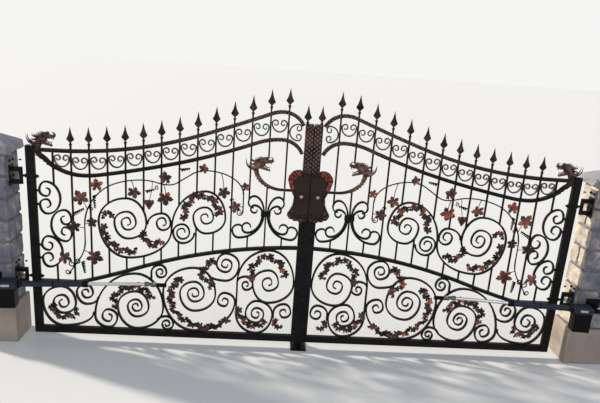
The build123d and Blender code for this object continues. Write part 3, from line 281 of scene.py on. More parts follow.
# The first stops are kept dark and mauve as painted shade for the faces away from the sun; the second set
# paints the sunlit cream on faces turned to -X.
stone = make_stone(
    "split_stone", [(0.3, (0.10, 0.10, 0.14)), (0.52, (0.19, 0.185, 0.225)), (0.76, (0.56, 0.49, 0.40))],
    9.0, 0.95, 0.009, painted_sunlight_stops=[(0.3, (0.26, 0.23, 0.22)), (0.48, (0.50, 0.44, 0.35)), (0.7, (0.74, 0.67, 0.52))],
)
mortar = make_stone(
    "mortar", [(0.3, (0.13, 0.125, 0.14)), (0.5, (0.18, 0.17, 0.18)), (0.7, (0.25, 0.24, 0.24))],
    20.0, 1.0, 0.003,
)
foot_stone = make_stone(
    "foot_stone", [(0.3, (0.24, 0.19, 0.165)), (0.5, (0.34, 0.28, 0.24)), (0.75, (0.44, 0.38, 0.32))],
    3.0, 0.9, 0.002, 40.0,
)
cap_stone = make_stone(
    "cap_stone", [(0.3, (0.18, 0.185, 0.215)), (0.5, (0.28, 0.28, 0.305)), (0.75, (0.42, 0.40, 0.40))],
    4.0, 0.85, 0.003, 60.0,
)
operator_blue = grained("operator_blue", (0.011, 0.018, 0.036), 0.42, 0.0, 0.22, 500.0, 0.1)
operator_black = grained("operator_black", (0.003, 0.003, 0.0035), 0.48, 0.0, 0.10, 600.0, 0.15)
bright = grained("bright_rod", (0.52, 0.53, 0.55), 0.25, 1.0, 0.5, 300.0, 0.05, 0.0005)
eye_steel = grained("eye_steel", (0.13, 0.125, 0.12), 0.5, 0.3, 0.5, 300.0, 0.2)
boss_metal = grained("boss_metal", (0.40, 0.33, 0.30), 0.35, 0.7, 0.5, 200.0, 0.1)
label = material("bare_plate", (0.42, 0.43, 0.45), 0.4, 0.3)
rubber = material("rubber", (0.02, 0.02, 0.02), 0.8)


# Mesh building

def placed(name, data):
    made = bpy.data.objects.new(name, data)
    bpy.context.scene.collection.objects.link(made)
    return made


class Pile:
    """Many small shapes gathered into one mesh, in millimetres, with heights over the ground."""

    def __init__(self):
        self.points = []
        self.faces = []
        self.count = 0

    def add(self, points, faces):
        self.points.append(np.asarray(points, float).reshape(-1, 3))
        self.faces += [tuple(index + self.count for index in face) for face in faces]
        self.count += len(self.points[-1])

    def shift(self, way, scale=1.0):
        self.points = [points * scale + np.array(way) for points in self.points]

    def build(self, name, mat, mirrored=False, smooth=True):
        points = np.concatenate(self.points) * MM
        faces = self.faces
        if mirrored:
            points = points * np.array([-1, 1, 1])
            faces = [face[::-1] for face in faces]
        mesh = bpy.data.meshes.new(name)
        mesh.from_pydata([tuple(point) for point in points], [], faces)
        mesh.polygons.foreach_set("use_smooth", [smooth] * len(faces))
        mesh.materials.append(mat)
        mesh.update()
        return placed(name, mesh)


def pair(pile, name, mat, body="leaf", replaced=None, smooth=True, modify=None):
    """The pile's mesh on the left body, and mirrored on the right one."""
    for side in ("left", "right"):
        made = pile.build(f"{side}_{name}", mat, side == "right", smooth)
        if modify:
            modify(made)
        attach(made, "root" if body == "root" else f"{side}_{body}")
        if replaced:
            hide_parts(f"{side}_{replaced}")


def bands(rows, sides, inward=False):
    """Faces that join each ring of points to the next one."""
    faces = []
    for row, column in product(range(rows), range(sides)):
        here, after = row * sides + column, row * sides + (column + 1) % sides
        if inward:
            faces.append((here, here + sides, after + sides, after))
        else:
            faces.append((here, after, after + sides, here + sides))
    return faces


def closed_bands(rows, sides, inward=False):
    """Bands whose first and last ring are closed to the two points that come after all rings."""
    faces = bands(rows, sides, inward)
    start, last = (rows + 1) * sides, rows * sides
    for column in range(sides):
        here, after = column, (column + 1) % sides
        if inward:
            here, after = after, here
        faces.append((start, after, here))
        faces.append((start + 1, last + here, last + after))
    return faces


def tube(pile, path, radius, sides, flat=1.0, up=(0, 1, 0)):
    """A round or flattened bar along a path, closed at both ends. flat scales it along up."""
    path = np.asarray(path, float)
    radius = np.broadcast_to(np.asarray(radius, float), len(path))
    ahead = np.gradient(path, axis=0)
    ahead /= np.linalg.norm(ahead, axis=1)[:, None] + 1e-12
    across = np.cross(ahead, up)
    across /= np.linalg.norm(across, axis=1)[:, None] + 1e-12
    upward = np.cross(across, ahead)
    turn = np.arange(sides) * 2 * pi / sides
    ring = (
        path[:, None]
        + radius[:, None, None] * (np.cos(turn)[None, :, None] * across[:, None])
        + flat * radius[:, None, None] * (np.sin(turn)[None, :, None] * upward[:, None])
    )
    points = np.concatenate([ring.reshape(-1, 3), path[:1], path[-1:]])
    pile.add(points, closed_bands(len(path) - 1, sides))


def taper(pile, path, first, last, sides, flat=1.0):
    """A tube whose radius goes evenly from the first to the last."""
    tube(pile, path, np.linspace(first, last, len(path)), sides, flat)


def ball(pile, centre, radii, rings=8, sides=12):
    """An ellipsoid."""
    points = []
    for row, column in product(range(1, rings), range(sides)):
        polar, turn = pi * row / rings, 2 * pi * column / sides
        points.append((sin(polar) * cos(turn), sin(polar) * sin(turn), cos(polar)))
    points += [(0, 0, 1), (0, 0, -1)]
    pile.add(np.array(points) * np.array(radii) + np.array(centre), closed_bands(rings - 2, sides, True))


def capsule(pile, start, end, first, last):
    """A tapered bar with rounded ends, from its radius at the start to the one at the end."""
    start, end = np.array(start, float), np.array(end, float)
    length = np.linalg.norm(end - start)
    way = (end - start) / length
    quarter = np.linspace(0, pi / 2, 6)
    path = []
    radii = []
    for middle, radius, parts in ((start, first, -np.cos(quarter)), (end, last, np.sin(quarter))):
        path += [middle + way * part * radius for part in parts]
        radii += [radius * max(0.02, (1 - part * part) ** 0.5) for part in parts]
    path[6:6] = [start + way * part * length for part in (0.3, 0.7)]
    radii[6:6] = [first + (last - first) * part for part in (0.3, 0.7)]
    up = (0, 1, 0) if abs(way[1]) < 0.9 else (0, 0, 1)
    tube(pile, path, radii, 14, 1.0, up)


def smooth_path(corners, steps=8):
    """Points on a smooth curve through the corners."""
    corners = np.asarray(corners, float)
    ends = np.concatenate([[2 * corners[0] - corners[1]], corners, [2 * corners[-1] - corners[-2]]])
    out = []
    for index in range(1, len(ends) - 2):
        p0, p1, p2, p3 = ends[index - 1:index + 3]
        for step in range(steps):
            t = step / steps
            out.append(0.5 * (2 * p1 + (p2 - p0) * t + (2 * p0 - 5 * p1 + 4 * p2 - p3) * t * t
                              + (3 * p1 - p0 - 3 * p2 + p3) * t ** 3))
    out.append(corners[-1])
    return np.array(out)


def lathe(pile, centre, profile, sides):
    """A turned shape about the vertical. The profile is a list of (radius, height)."""
    path = [(centre[0], centre[1], centre[2] + height) for _, height in profile]
    tube(pile, path, [radius for radius, _ in profile], sides)


def block(pile, low, high):
    """A plain box."""
    faces = [(0, 1, 3, 2), (4, 6, 7, 5), (0, 4, 5, 1), (2, 3, 7, 6), (0, 2, 6, 4), (1, 5, 7, 3)]
    pile.add(list(product(*zip(low, high))), faces)


def hexagon(pile, centre, axis, size, height):
    """A bolt head on its washer."""
    axis = np.array(axis, float)
    up = (0, 0, 1) if abs(axis[2]) < 0.5 else (0, 1, 0)
    centre = np.array(centre, float)
    head = [centre, centre + axis * height * 0.8, centre + axis * height]
    tube(pile, head, [size, size, size * 0.85], 6, 1.0, up)
    tube(pile, [centre - axis * 1.0, centre + axis * 1.5], [size * 1.35, size * 1.3], 16, 1.0, up)


def modifier(made, kind, **values):
    added = made.modifiers.new(kind.lower(), kind)
    for key, value in values.items():
        setattr(added, key, value)


def bevel(made, width, segments=2):
    """Rounded edges and even shading."""
    modifier(made, "WELD", merge_threshold=0.00002)
    modifier(made, "BEVEL", width=width * MM, segments=segments, limit_method="ANGLE", angle_limit=0.6,
             harden_normals=True)
    made.data.polygons.foreach_set("use_smooth", [True] * len(made.data.polygons))
    modifier(made, "WEIGHTED_NORMAL", keep_sharp=True)


# What pair can do to a mesh: round its edges, give a sheet its thickness, or melt its shapes into one skin

def rounded(width, segments=2):
    return lambda made: bevel(made, width, segments)


def thicken(depth):
    return lambda made: modifier(made, "SOLIDIFY", thickness=depth * MM, offset=0)


def fused(made):
    modifier(made, "REMESH", mode="VOXEL", voxel_size=2.4 * MM, use_smooth_shade=True)
    modifier(made, "SMOOTH", factor=0.6, iterations=3)


# Leaf sheets

rng = np.random.default_rng(7)


def leaf(pile, x, y, z, size, turn, tilt, steps):
    """A grape leaf facing -Y, its tip turned from +Z by turn degrees. lobes is 1 at each of its five points
    and 0 between them."""
    angles = np.arange(steps) * 2 * pi / steps
    lobes = np.abs(np.cos(2.5 * angles))
    uneven = rng.uniform(0.9, 1.12, 5)[np.round(angles / (2 * pi / 5)).astype(int) % 5]
    jagged = 0.06 * np.cos(angles * 15) + rng.uniform(-0.03, 0.03, steps)
    gaps = 0.15 * np.exp(-(lobes / 0.26) ** 2)
    reach = (0.66 + 0.34 * lobes ** 1.3 * uneven + jagged * lobes - gaps) * (1 + 0.08 * np.cos(angles))
    reach *= 1 - 0.45 * np.exp(-((angles - pi) / 0.22) ** 2)
    shares = (0.3, 0.62, 0.86, 1.0)
    points = [(0.0, -0.02, 0.0)]
    for share in shares:
        for angle, far, lobe in zip(angles, reach, lobes):
            r = share * far
            fold = 0.20 * r * (1 - lobe)
            cup = 0.34 * r * r
            back = 1.5 * max(0.0, r - 0.70) ** 1.5
            points.append((-r * sin(angle), fold + back - cup, r * cos(angle)))
    faces = []
    for column in range(steps):
        after = (column + 1) % steps
        faces.append((0, 1 + column, 1 + after))
        for row in range(len(shares) - 1):
            base = 1 + row * steps
            faces.append((base + column, base + steps + column, base + steps + after, base + after))
    place = (
        Matrix.Rotation(-radians(turn), 3, "Y") @ Matrix.Rotation(tilt[0], 3, "X")
        @ Matrix.Rotation(tilt[1], 3, "Z")
    )
    points = np.array(points) * size @ np.array(place).T + np.array((x, y, z))
    pile.add(points, faces)


def tilts(amount):
    return tuple(rng.uniform(-amount, amount, 2))


# Curves of the leaf's bars, the same arcs as in the solids

def chain(start, heading, stations, step=14.0):
    """Points on tangent arcs. Each station is the x where an arc ends and the heading there."""
    x, z = start
    angle = radians(heading)
    out = [(x, z)]
    for end_x, end_heading in stations:
        end_angle = radians(end_heading)
        count = max(3, ceil(abs(end_x - x) / step))
        width = end_x - x
        if abs(end_angle - angle) < 1e-6:
            out += [(x + width * k / count, z + width * k / count * sin(angle) / cos(angle))
                    for k in range(1, count + 1)]
        else:
            radius = width / (sin(end_angle) - sin(angle))
            for k in range(1, count + 1):
                here = angle + (end_angle - angle) * k / count
                out.append((x + radius * (sin(here) - sin(angle)), z + radius * (cos(angle) - cos(here))))
        x, z = out[-1]
        angle = end_angle
    return out


def height_at(points, x):
    xs = [point[0] for point in points]
    zs = [point[1] for point in points]
    return float(np.interp(x, xs, zs))


upper_crest = chain((-1946.7, 1408.0), 0.0, [(-1800, 0), (-800, 19), (-300, 22), (-220, 0), (-74.8, -62)])
mid_rail = chain((-1946.7, 417.0), 0.0, [(-1720, 0), (-1620, 15.6), (-1250, 19.8), (-63.3, 1.7)])
half_rail = 12.5
stile_face = -1947.0
meeting_face = -62.0


# Finials

def spear(pile, x, base):
    """A ridged spear on a turned collar. base is its seat over the leaf's bottom edge."""
    z = base + GROUND
    collar_profile = [(7, 0), (10, 1), (10, 4), (7, 5), (11, 8), (12.5, 10.5), (11, 13), (6.5, 15), (5.6, 20)]
    lathe(pile, (x, 0, z), collar_profile, 16)
    shoulder, tip, widest = 30, 118, 27.2
    heights = np.concatenate([np.linspace(0, shoulder, 8), np.linspace(shoulder + 6, tip, 12)])
    half = np.interp(heights, [0, 4, 12, 22, 27, shoulder], [4.6, 5.5, 13, 24, 27, widest])
    blade = heights > shoulder
    rest = (heights[blade] - shoulder) / (tip - shoulder)
    half[blade] = widest * (1 - rest) ** 1.25 * (1 - 0.25 * np.sin(pi * rest)) + 0.3
    thick = np.interp(heights, [0, 25, 60, tip], [4.6, 6.0, 4.6, 0.4])
    points = []
    for level, wide, deep in zip(heights, half, thick):
        top = z + 18 + level
        edge = min(deep * 0.35, 1.6)
        points += [(x + wide, edge, top), (x + wide, -edge, top), (x, -deep, top), (x - wide, -edge, top),
                   (x - wide, edge, top), (x, deep, top)]
    faces = []
    for row, column in product(range(len(heights) - 1), range(6)):
        here, after = row * 6 + column, row * 6 + (column + 1) % 6
        faces.append((after, here, here + 6, after + 6))
    faces.append(tuple(range(6)))
    faces.append(tuple(reversed(range((len(heights) - 1) * 6, len(heights) * 6))))
    pile.add(points, faces)


# Thirteen on the pickets' ends over the upper crest rail, and one on the meeting stile
spears = Pile()
picket_pitch = 126.0
picket_top = 26
for index in range(13):
    picket_x = -183.0 - picket_pitch * index
    spear(spears, picket_x, height_at(upper_crest, picket_x) + half_rail + picket_top)
spear(spears, -50.0, 1705.0)
pair(spears, "finials_shaped", finial_iron, "leaf", "finials", smooth=False)


# Dragons

# Each horn, which a head has on both sides: its corners, its radius at the root, how flat it is
horns = (
    (((4, 12, 26), (-28, 15, 14), (-60, 15, 16), (-83, 13, 40), (-90, 11, 80)), 15, 0.7),
    (((4, 12, 70), (-22, 14, 62), (-44, 14, 66), (-51, 12, 82)), 11, 0.8),
    (((-6, 16, 50), (-32, 18, 42), (-54, 16, 36), (-70, 13, 46)), 9, 0.7),
    (((14, 18, 34), (0, 20, 20), (-14, 18, 2), (-6, 15, -8)), 6, 0.7),
    (((100, 7, 84), (92, 10, 94), (80, 11, 96)), 4, 0.7),
)


def dragon_head(x, z):
    """The mass of a head facing +X, and its small sharp parts, as two piles."""
    mass = Pile()
    trim = Pile()
    ball(mass, (18, 0, 56), (38, 21, 30))
    capsule(mass, (6, 0, 66), (54, 0, 86), 18, 14)
    capsule(mass, (30, 0, 66), (92, 0, 67), 18, 12)
    ball(mass, (98, 0, 71), (12.5, 13, 11))
    capsule(mass, (2, 0, 26), (68, 0, 4), 15, 8)
    ball(mass, (76, 0, 1), (11, 9, 8.5))
    capsule(mass, (-30, 0, 12), (8, 0, 44), 20, 24)
    for side in (-1, 1):
        ball(mass, (2, side * 14, 40), (24, 7, 19))
        capsule(mass, (14, side * 13, 84), (54, side * 12, 92), 7, 6)
        ball(mass, (100, side * 8, 79), (8, 6, 6))
        capsule(mass, (52, side * 10, 58), (94, side * 9, 60), 5, 4)
        ball(trim, (43, side * 18.5, 79), (6.5, 4.5, 6.5))
        for corners, thick, flat in horns:
            path = smooth_path(np.array(corners) * (1, side, 1))
            taper(trim, path, thick, 0.5, 10, flat)
        for at, drop, length in ((92, 57, 17), (80, 56, 10), (70, 55, 9), (60, 54, 8)):
            tube(trim, [(at, side * 7, drop + 3), (at + 1, side * 7.5, drop - length * 0.5),
                        (at - 2, side * 7, drop - length)], [3.4, 2.3, 0.3], 8)
        for at, rise_at, length in ((78, 7, 15), (66, 11, 8), (55, 15, 7)):
            tube(trim, [(at, side * 5, rise_at - 3), (at + 1, side * 5, rise_at + length * 0.5),
                        (at - 1, side * 5, rise_at + length)], [3.0, 2.0, 0.3], 8)
    tongue = smooth_path([(24, 0, 32), (46, 0, 32), (66, 0, 22), (86, 0, 28)])
    taper(trim, tongue, 7, 1.5, 8, 1.1)
    for index in range(5):
        at = np.array((24 - 13 * index, 0, 88 - 2.6 * index ** 1.6))
        tube(trim, [at - (0, 0, 8), at + (-5, 0, 5), at + (-14, 0, 13 - index)], [7, 4.5, 0.4], 8, 0.5)
    for pile in (mass, trim):
        pile.shift((x, 0, z))
    return mass, trim


def spine(pile, points):
    tube(pile, points, [7, 4, 0.4], 8, 0.5)


corner_x, corner_z = stile_face + 45.0, 1440.0 + GROUND
mass, trim = dragon_head(corner_x, corner_z)
body_path = smooth_path([
    (corner_x - 8, 0, corner_z + 20), (corner_x - 22, 0, corner_z - 22), (corner_x - 12, 0, corner_z - 62),
    (-1872, 0, 1344 + GROUND), (-1838, 0, 1310 + GROUND), (-1800, 0, 1282 + GROUND),
])
taper(mass, body_path, 24, 15, 16, 0.85)
for index, point in enumerate(body_path[6:36:5]):
    spine(trim, [point + (-12, 0, -8), point + (-20, 0, -14 + index), point + (-28, 0, -6)])
pair(mass, "corner_dragon_body", corner_skin, replaced="corner_dragon", modify=fused)
pair(trim, "corner_dragon_trim", corner_skin)

inner_x, inner_z = -379.0, 1358.0 + GROUND
mass, trim = dragon_head(inner_x, inner_z)
for pile in (mass, trim):
    pile.shift((0, -20.0, 0), (1, 0.8, 1))
turns = np.linspace(0, pi / 2, 22)
neck = [(meeting_face, 0, 1215 + GROUND), (-130, 0, 1215 + GROUND)]
neck += [(-200 - 195 * sin(t), -3.0 * sin(t), 1370 + GROUND - 155 * cos(t)) for t in turns]
neck.append((-391, -14, 1392 + GROUND))
tube(mass, neck, np.interp(np.arange(len(neck)), [0, 3, 16, len(neck) - 1], [11, 11, 15, 20]), 16, 0.85)
for index, point in enumerate(neck[8:-1:2]):
    away = np.array((-cos(turns[min(21, 6 + 2 * index)] * 0.5), 0, -sin(0.9) * 0.6))
    point = np.array(point)
    spine(trim, [point + away * 10, point + away * 20 + (0, 0, 4), point + away * 27 + (0, 0, 12)])
pair(mass, "inner_dragon_body", dragon_skin, replaced="inner_dragon", modify=fused)
pair(trim, "inner_dragon_trim", dragon_skin)


# Vine: stems, tendrils, leaves and the grape cluster

vine_y = -9.3
leaf_y = -13.5
trunk_x = -1612.0
upper_stem = chain((trunk_x, 870), 90, [
    (-1560, 58), (-1490, 42), (-1400, 22), (-1190, 0), (-1090, -16), (-1015, 0), (-950, 34), (-850, 34),
    (-740, 0), (-620, -17), (-540, -34), (-480, -75), (-476, -90),
])
lower_stem = chain((-1738, 482), 62, [(-1700, 54), (-1650, 58), (-1622, 74), (trunk_x, 90)])
stems = Pile()
tail = [(-476 - 24 * (1 - cos(t)), 1042 - 34 * sin(t)) for t in np.linspace(0.2, pi / 2, 6)]
whole = lower_stem + [(trunk_x, z) for z in (790, 830)] + upper_stem + [(-476, 1100), (-476, 1060)] + tail
tube(stems, [(x, vine_y, z + GROUND) for x, z in whole], 4.8, 8)
for k in range(2):
    way = [(x + 2.8 * cos(i * 0.55 + k * pi), vine_y + 2.8 * sin(i * 0.55 + k * pi), z + GROUND)
           for i, (x, z) in enumerate(whole)]
    tube(stems, way, 3.2, 6)


def corkscrew(pile, start, end, radius, rounds):
    """A tendril wound between two places (x, z)."""
    start, end = (np.array((x, vine_y - 2, z + GROUND), float) for x, z in (start, end))
    way = end - start
    side = np.cross(way / np.linalg.norm(way), (0, 1, 0))
    path = []
    for t in np.linspace(0, 1, rounds * 12 + 1):
        turn = 2 * pi * rounds * t
        away = side * cos(turn) + np.array((0, 1, 0)) * 0.7 * sin(turn)
        path.append(start + way * t + radius * (1 - 0.4 * t) * away)
    taper(pile, path, 6.2, 6.2 * 0.7, 6)


def spiral(centre, radius, closing, first, sweep, count, y, drift=0.0):
    """Points that close in on a centre (x, z) by a share of the radius, while Y drifts."""
    path = []
    for t in np.linspace(0, 1, count):
        far, turn = radius * (1 - closing * t), radians(first + sweep * t)
        path.append((centre[0] + far * cos(turn), y + drift * t, centre[1] + GROUND + far * sin(turn)))
    return path


# The tendrils: where each corkscrew starts and ends, its radius and turns, and then each flat curl's
# centre, radius, first angle, sweep and thickness
for start, end, radius, rounds in (
    ((-1632, 588), (-1620, 500), 10, 6), ((-1692, 948), (-1612, 996), 10, 6),
    ((-1540, 1100), (-1534, 1006), 8, 5), ((-1172, 1148), (-1112, 1168), 8, 4),
    ((-926, 1322), (-862, 1336), 8, 4),
):
    corkscrew(stems, start, end, radius, rounds)
for centre, radius, first, sweep, thick in (
    ((-1712, 566), 25, 90, 420, 5.2), ((-1672, 592), 24, 180, 420, 5.2), ((-1744, 502), 22, 0, -400, 5.0),
    ((-1560, 1000), 18, 90, 400, 4.0), ((-1095, 1180), 16, 60, 420, 4.0), ((-500, 1030), 22, 270, -400, 4.0),
    ((-560, 1120), 15, 0, 380, 4.0),
):
    curl = spiral(centre, radius, 0.7, first, sweep, 26, vine_y - 1)
    taper(stems, curl, thick, thick * 0.7, 6)


def on_stem(x, stem=upper_stem):
    return (x, height_at(stem, x))


# Each leaf: root, centre, size, turn of its tip, paint
vine_leaves = [
    (on_stem(-1590), (-1632, 1076), 50, 30, "brown"), (on_stem(-1500), (-1520, 1176), 40, 10, "red"),
    ((trunk_x, 850), (-1684, 858), 42, 80, "dark"), ((trunk_x, 880), (-1560, 900), 36, -70, "dark"),
    (on_stem(-1690, lower_stem), (-1758, 612), 42, 40, "brown"),
    (on_stem(-1622, lower_stem), (-1548, 632), 56, -110, "brown"),
    (on_stem(-1276), (-1258, 1142), 42, 190, "brown"), (on_stem(-1030), (-1034, 1258), 42, 5, "brown"),
    (on_stem(-1046), (-1036, 1112), 50, 185, "red"), (on_stem(-790), (-766, 1340), 32, -10, "red"),
    (on_stem(-640), (-620, 1178), 40, 190, "brown"), (on_stem(-500), (-466, 1226), 30, -60, "red"),
    ((-476, 1076), (-530, 1070), 38, 90, "brown"),
]
paints = {"red": leaf_red, "brown": leaf_brown, "dark": leaf_dark}


def pair_leaves(kind, piles, depth):
    for paint, pile in piles.items():
        pair(pile, f"{kind}_{paint}_leaves", paints[paint], modify=thicken(depth))


piles = {paint: Pile() for paint in paints}
for root, centre, size, turn, paint in vine_leaves:
    middle = ((root[0] + centre[0]) / 2 + 6, (root[1] + centre[1]) / 2)
    path = smooth_path([(root[0], vine_y, root[1] + GROUND), (middle[0], vine_y - 3, middle[1] + GROUND),
                        (centre[0], -13, centre[1] + GROUND)], 5)
    taper(stems, path, 3.2, 2.6, 6)
    leaf(piles[paint], centre[0], leaf_y, centre[1] + GROUND, size * 1.12, turn, tilts(0.25), 60)
pair(stems, "vine_stems", crest_iron, replaced="vine")
pair_leaves("vine", piles, 2.6)
grapes = Pile()
for row, count in enumerate((4, 4, 3, 2, 1)):
    for index in range(count):
        x = -1150 + (index - (count - 1) / 2) * 16.5
        ball(grapes, (x, leaf_y + 3 * (index % 2), 1080 + GROUND - 13.5 * row), (9.8, 8, 9.8), 6, 10)
stalk = [(-1126, vine_y, on_stem(-1126)[1]), (-1134, vine_y, 1150), (-1150, -12, 1078)]
tube(grapes, [(x, y, z + GROUND) for x, y, z in stalk], 2.6, 6)
pair(grapes, "grapes", grape_skin)


# Garlands: sprays that swing about the volutes' eyes

seat_gap = 0.3
half_bar = 6.5
seat = seat_gap + half_bar
bottom_seat = 50 + seat


def hung(x, top, left):
    """Eye of a volute that touches the sloping rail above it."""
    heights = []
    for step in range(31):
        angle = radians(90 + 3 * step)
        there = x + (left + half_bar) * cos(angle)
        slope = (height_at(mid_rail, there + 1) - height_at(mid_rail, there - 1)) / 2
        below = height_at(mid_rail, there) - half_rail * hypot(1, slope)
        heights.append(below - (top + half_bar) * sin(angle))
    return (x, min(heights) - seat_gap)


corner_eye = (stile_face + seat + 175 * SHRINK, bottom_seat + 175 * RISE)
second_eye = (-1250.0, bottom_seat + 246 * RISE * SHRINK ** 2)
third_eye = (-815.0, bottom_seat + 283.5 * RISE)
hanging_eye = hung(-586.0, 120 * RISE * SHRINK ** 2, 120 * SHRINK ** 3)
fourth_eye = hung(meeting_face - seat - 241 * 0.79, 241 * RISE, 236.0)
fifth_eye = (-339.0, bottom_seat + 148 * RISE)
last_eye = (-127.0, 241.0)
round_eye = (-1310.0, 905.0)
bay_eye = (-1116.0, 836.0)
high_eye = (-745.0, 975.0)

# Each spray: its eye, first and last angle about it, first and last distance from it
sprays = [
    (corner_eye, 180, 340, 68, 128), (second_eye, 186, 158, 140, 174), (second_eye, 158, 30, 174, 140),
    (third_eye, 126, 180, 150, 176), (third_eye, 180, 255, 176, 208), (third_eye, 255, 326, 208, 318),
    (third_eye, 80, 24, 152, 146), (hanging_eye, 200, 158, 182, 88), (fourth_eye, 168, 142, 118, 172),
    (fourth_eye, 142, 95, 172, 204), (fourth_eye, 95, 26, 204, 130), (fifth_eye, 157, 215, 154, 96),
    (fifth_eye, 215, 330, 96, 74), (last_eye, 206, 262, 88, 122), (round_eye, 146, 166, 100, 186),
    (round_eye, 184, 290, 172, 206), (bay_eye, 166, 320, 78, 78), (high_eye, 188, 110, 150, 166),
    (high_eye, 110, 16, 166, 98),
]
garland_y = -13.3
leaf_pitch = 47.0
stems = Pile()
piles = {paint: Pile() for paint in paints}


def spray_spot(spray, share, aside=0.0):
    """A point beside a spray, and the length of the whole spray if it went on as it does there."""
    eye, first, last, start, end = spray
    turn = radians(first + (last - first) * share)
    swing = radians(last - first)
    far = start + (end - start) * share
    along = ((end - start) * cos(turn) - far * swing * sin(turn),
             RISE * ((end - start) * sin(turn) + far * swing * cos(turn)))
    length = hypot(*along)
    x = eye[0] + far * cos(turn) - aside * along[1] / length
    z = eye[1] + GROUND + far * RISE * sin(turn) + aside * along[0] / length
    return (x, garland_y, z), length


for number, spray in enumerate(sprays):
    path = [spray_spot(spray, share)[0] for share in np.linspace(0, 1, 22)]
    taper(stems, path, 3.8, 2.6, 8)
    length = sum(spray_spot(spray, (step + 0.5) / 8)[1] for step in range(8)) / 8
    count = max(2, round(length / leaf_pitch))
    for index in range(count):
        share = (index + 0.5) / count
        (x, y, z), _ = spray_spot(spray, share, 7.0 * (-1) ** index)
        paint = ("dark", "brown", "dark", "dark", "brown", "dark", "red")[(index + number) % 7]
        leaf(piles[paint], x, y - 1, z, 31 if index % 2 == 0 else 27, 137 * index + spray[1], tilts(0.4), 35)
        (x, y, z), _ = spray_spot(spray, share + 0.4 / count, -17.0 * (-1) ** index)
        paint = ("dark", "dark", "brown")[(index + number) % 3]
        leaf(piles[paint], x, y - 4, z, rng.uniform(16, 22), rng.uniform(0, 360), tilts(0.6), 25)
pair(stems, "garland_stems", crest_iron, replaced="garlands")
pair_leaves("garland", piles, 2.2)


# Shield: scalloped rim with curled ears, bosses

def arc(start, middle, end, count=14):
    """Points on the circle through three points."""
    (ax, ay), (bx, by), (cx, cy) = start, middle, end
    aa, bb, cc = (x * x + y * y for x, y in (start, middle, end))
    d = 2 * (ax * (by - cy) + bx * (cy - ay) + cx * (ay - by))
    ux = (aa * (by - cy) + bb * (cy - ay) + cc * (ay - by)) / d
    uy = (aa * (cx - bx) + bb * (ax - cx) + cc * (bx - ax)) / d
    far = hypot(ax - ux, ay - uy)
    first, mid, last = (atan2(y - uy, x - ux) for x, y in (start, middle, end))
    sweep = (last - first) % (2 * pi)
    if (mid - first) % (2 * pi) > sweep:
        sweep -= 2 * pi
    turns = [first + sweep * t for t in np.linspace(0, 1, count)]
    return [(ux + far * cos(turn), uy + far * sin(turn)) for turn in turns]


# The shield's edge as points on its arcs. Two arcs meet at every other point.
edge = [
    (-48, 1350), (-70, 1366), (-100, 1370), (-148, 1342), (-158, 1285), (-134, 1226), (-114, 1180),
    (-122, 1110), (-148, 1060), (-150, 1030), (-118, 1012), (-90, 1000), (-62, 1016), (-34, 1002), (-6, 1022),
]
rim = Pile()
for index in range(0, len(edge) - 2, 2):
    run = [(x + 5.5 if x < -20 else x, -30.0, z + GROUND) for x, z in arc(*edge[index:index + 3])]
    tube(rim, run, 6.2 + 2.2 * np.abs(np.sin(np.linspace(0, 2 * pi, len(run)))), 8)
pair(rim, "shield_rim", leaf_dark, "leaf")
# Curled ears as centre, radius, first angle and sweep, and leaves as x, z and turn
foot_ears = [((-124, 1042), 20, 160, 460)]
foot_leaves = [(-124, 1068, 90), (-104, 1014, 170), (-60, 1000, 180)]
top_ears = [((-126, 1326), 27, 200, -460), ((-128, 1248), 16, 120, 420), ((-82, 1350), 15, 60, 400)]
top_leaves = [(-100, 1364, 20), (-146, 1330, 60), (-144, 1290, 80), (-136, 1258, 100)]
for name, mat, ears, sprigs, size in (
    ("shield_foot", leaf_brown, foot_ears, foot_leaves, 17),
    ("shield_ears", ear_red, top_ears, top_leaves, 18),
):
    pile = Pile()
    for centre, radius, first, sweep in ears:
        curl = spiral(centre, radius, 0.75, first, sweep, 30, -31, -6)
        taper(pile, curl, 6.4, 4.0, 8)
    for x, z, turn in sprigs:
        leaf(pile, x + 4, -33.0, z + GROUND - 3, size, turn, tilts(0.3), 35)
    pair(pile, name, mat, "leaf")
bosses = Pile()
knob = [(-60, y, 1180 + GROUND) for y in (-24, -38, -41.4, -42.2)]
tube(bosses, knob, [14, 13, 10, 4], 20, 1.0, (0, 0, 1))
pair(bosses, "shield_bosses", boss_metal, "leaf")
rivets = Pile()
for x, z in ((-60, 1330), (-60, 1035), (-120, 1290), (-120, 1060), (-24, 1330), (-24, 1045)):
    ball(rivets, (x, -25.5, z + GROUND), (7, 4, 7))
pair(rivets, "shield_rivets", crest_iron, "leaf")


# Notched edges of the bottom rail and hinge stile, and the lips between the meeting stiles

notches = Pile()
notch = 22.0
notch_y = 14.0
rail_xs = np.arange(stile_face + 1, meeting_face - 1, notch / 4)
for y in (-notch_y, notch_y):
    run = [(x, y, 49.0 + GROUND) for x in rail_xs]
    tube(notches, run, 1.6 + 2.8 * np.abs(np.sin(pi * rail_xs / notch)), 6)
stile_zs = np.arange(60.0, 1420.0, notch / 4)
run = [(stile_face + 1, -notch_y, z + GROUND) for z in stile_zs]
tube(notches, run, 1.6 + 2.4 * np.abs(np.sin(pi * stile_zs / notch)), 6)
pair(notches, "notched_edge", iron, "leaf")
seal = Pile()
block(seal, (-3.2, -12, 8 + GROUND), (-0.8, 12, 1690 + GROUND))
pair(seal, "seal", rubber, "leaf", smooth=False)


# Piers: split-face blocks over mortar, on a smooth foot

least_depth = 2.0
most_depth = 19.0
chip_depth = 9.5
edge_depth = 9.0
edge_width = 22.0


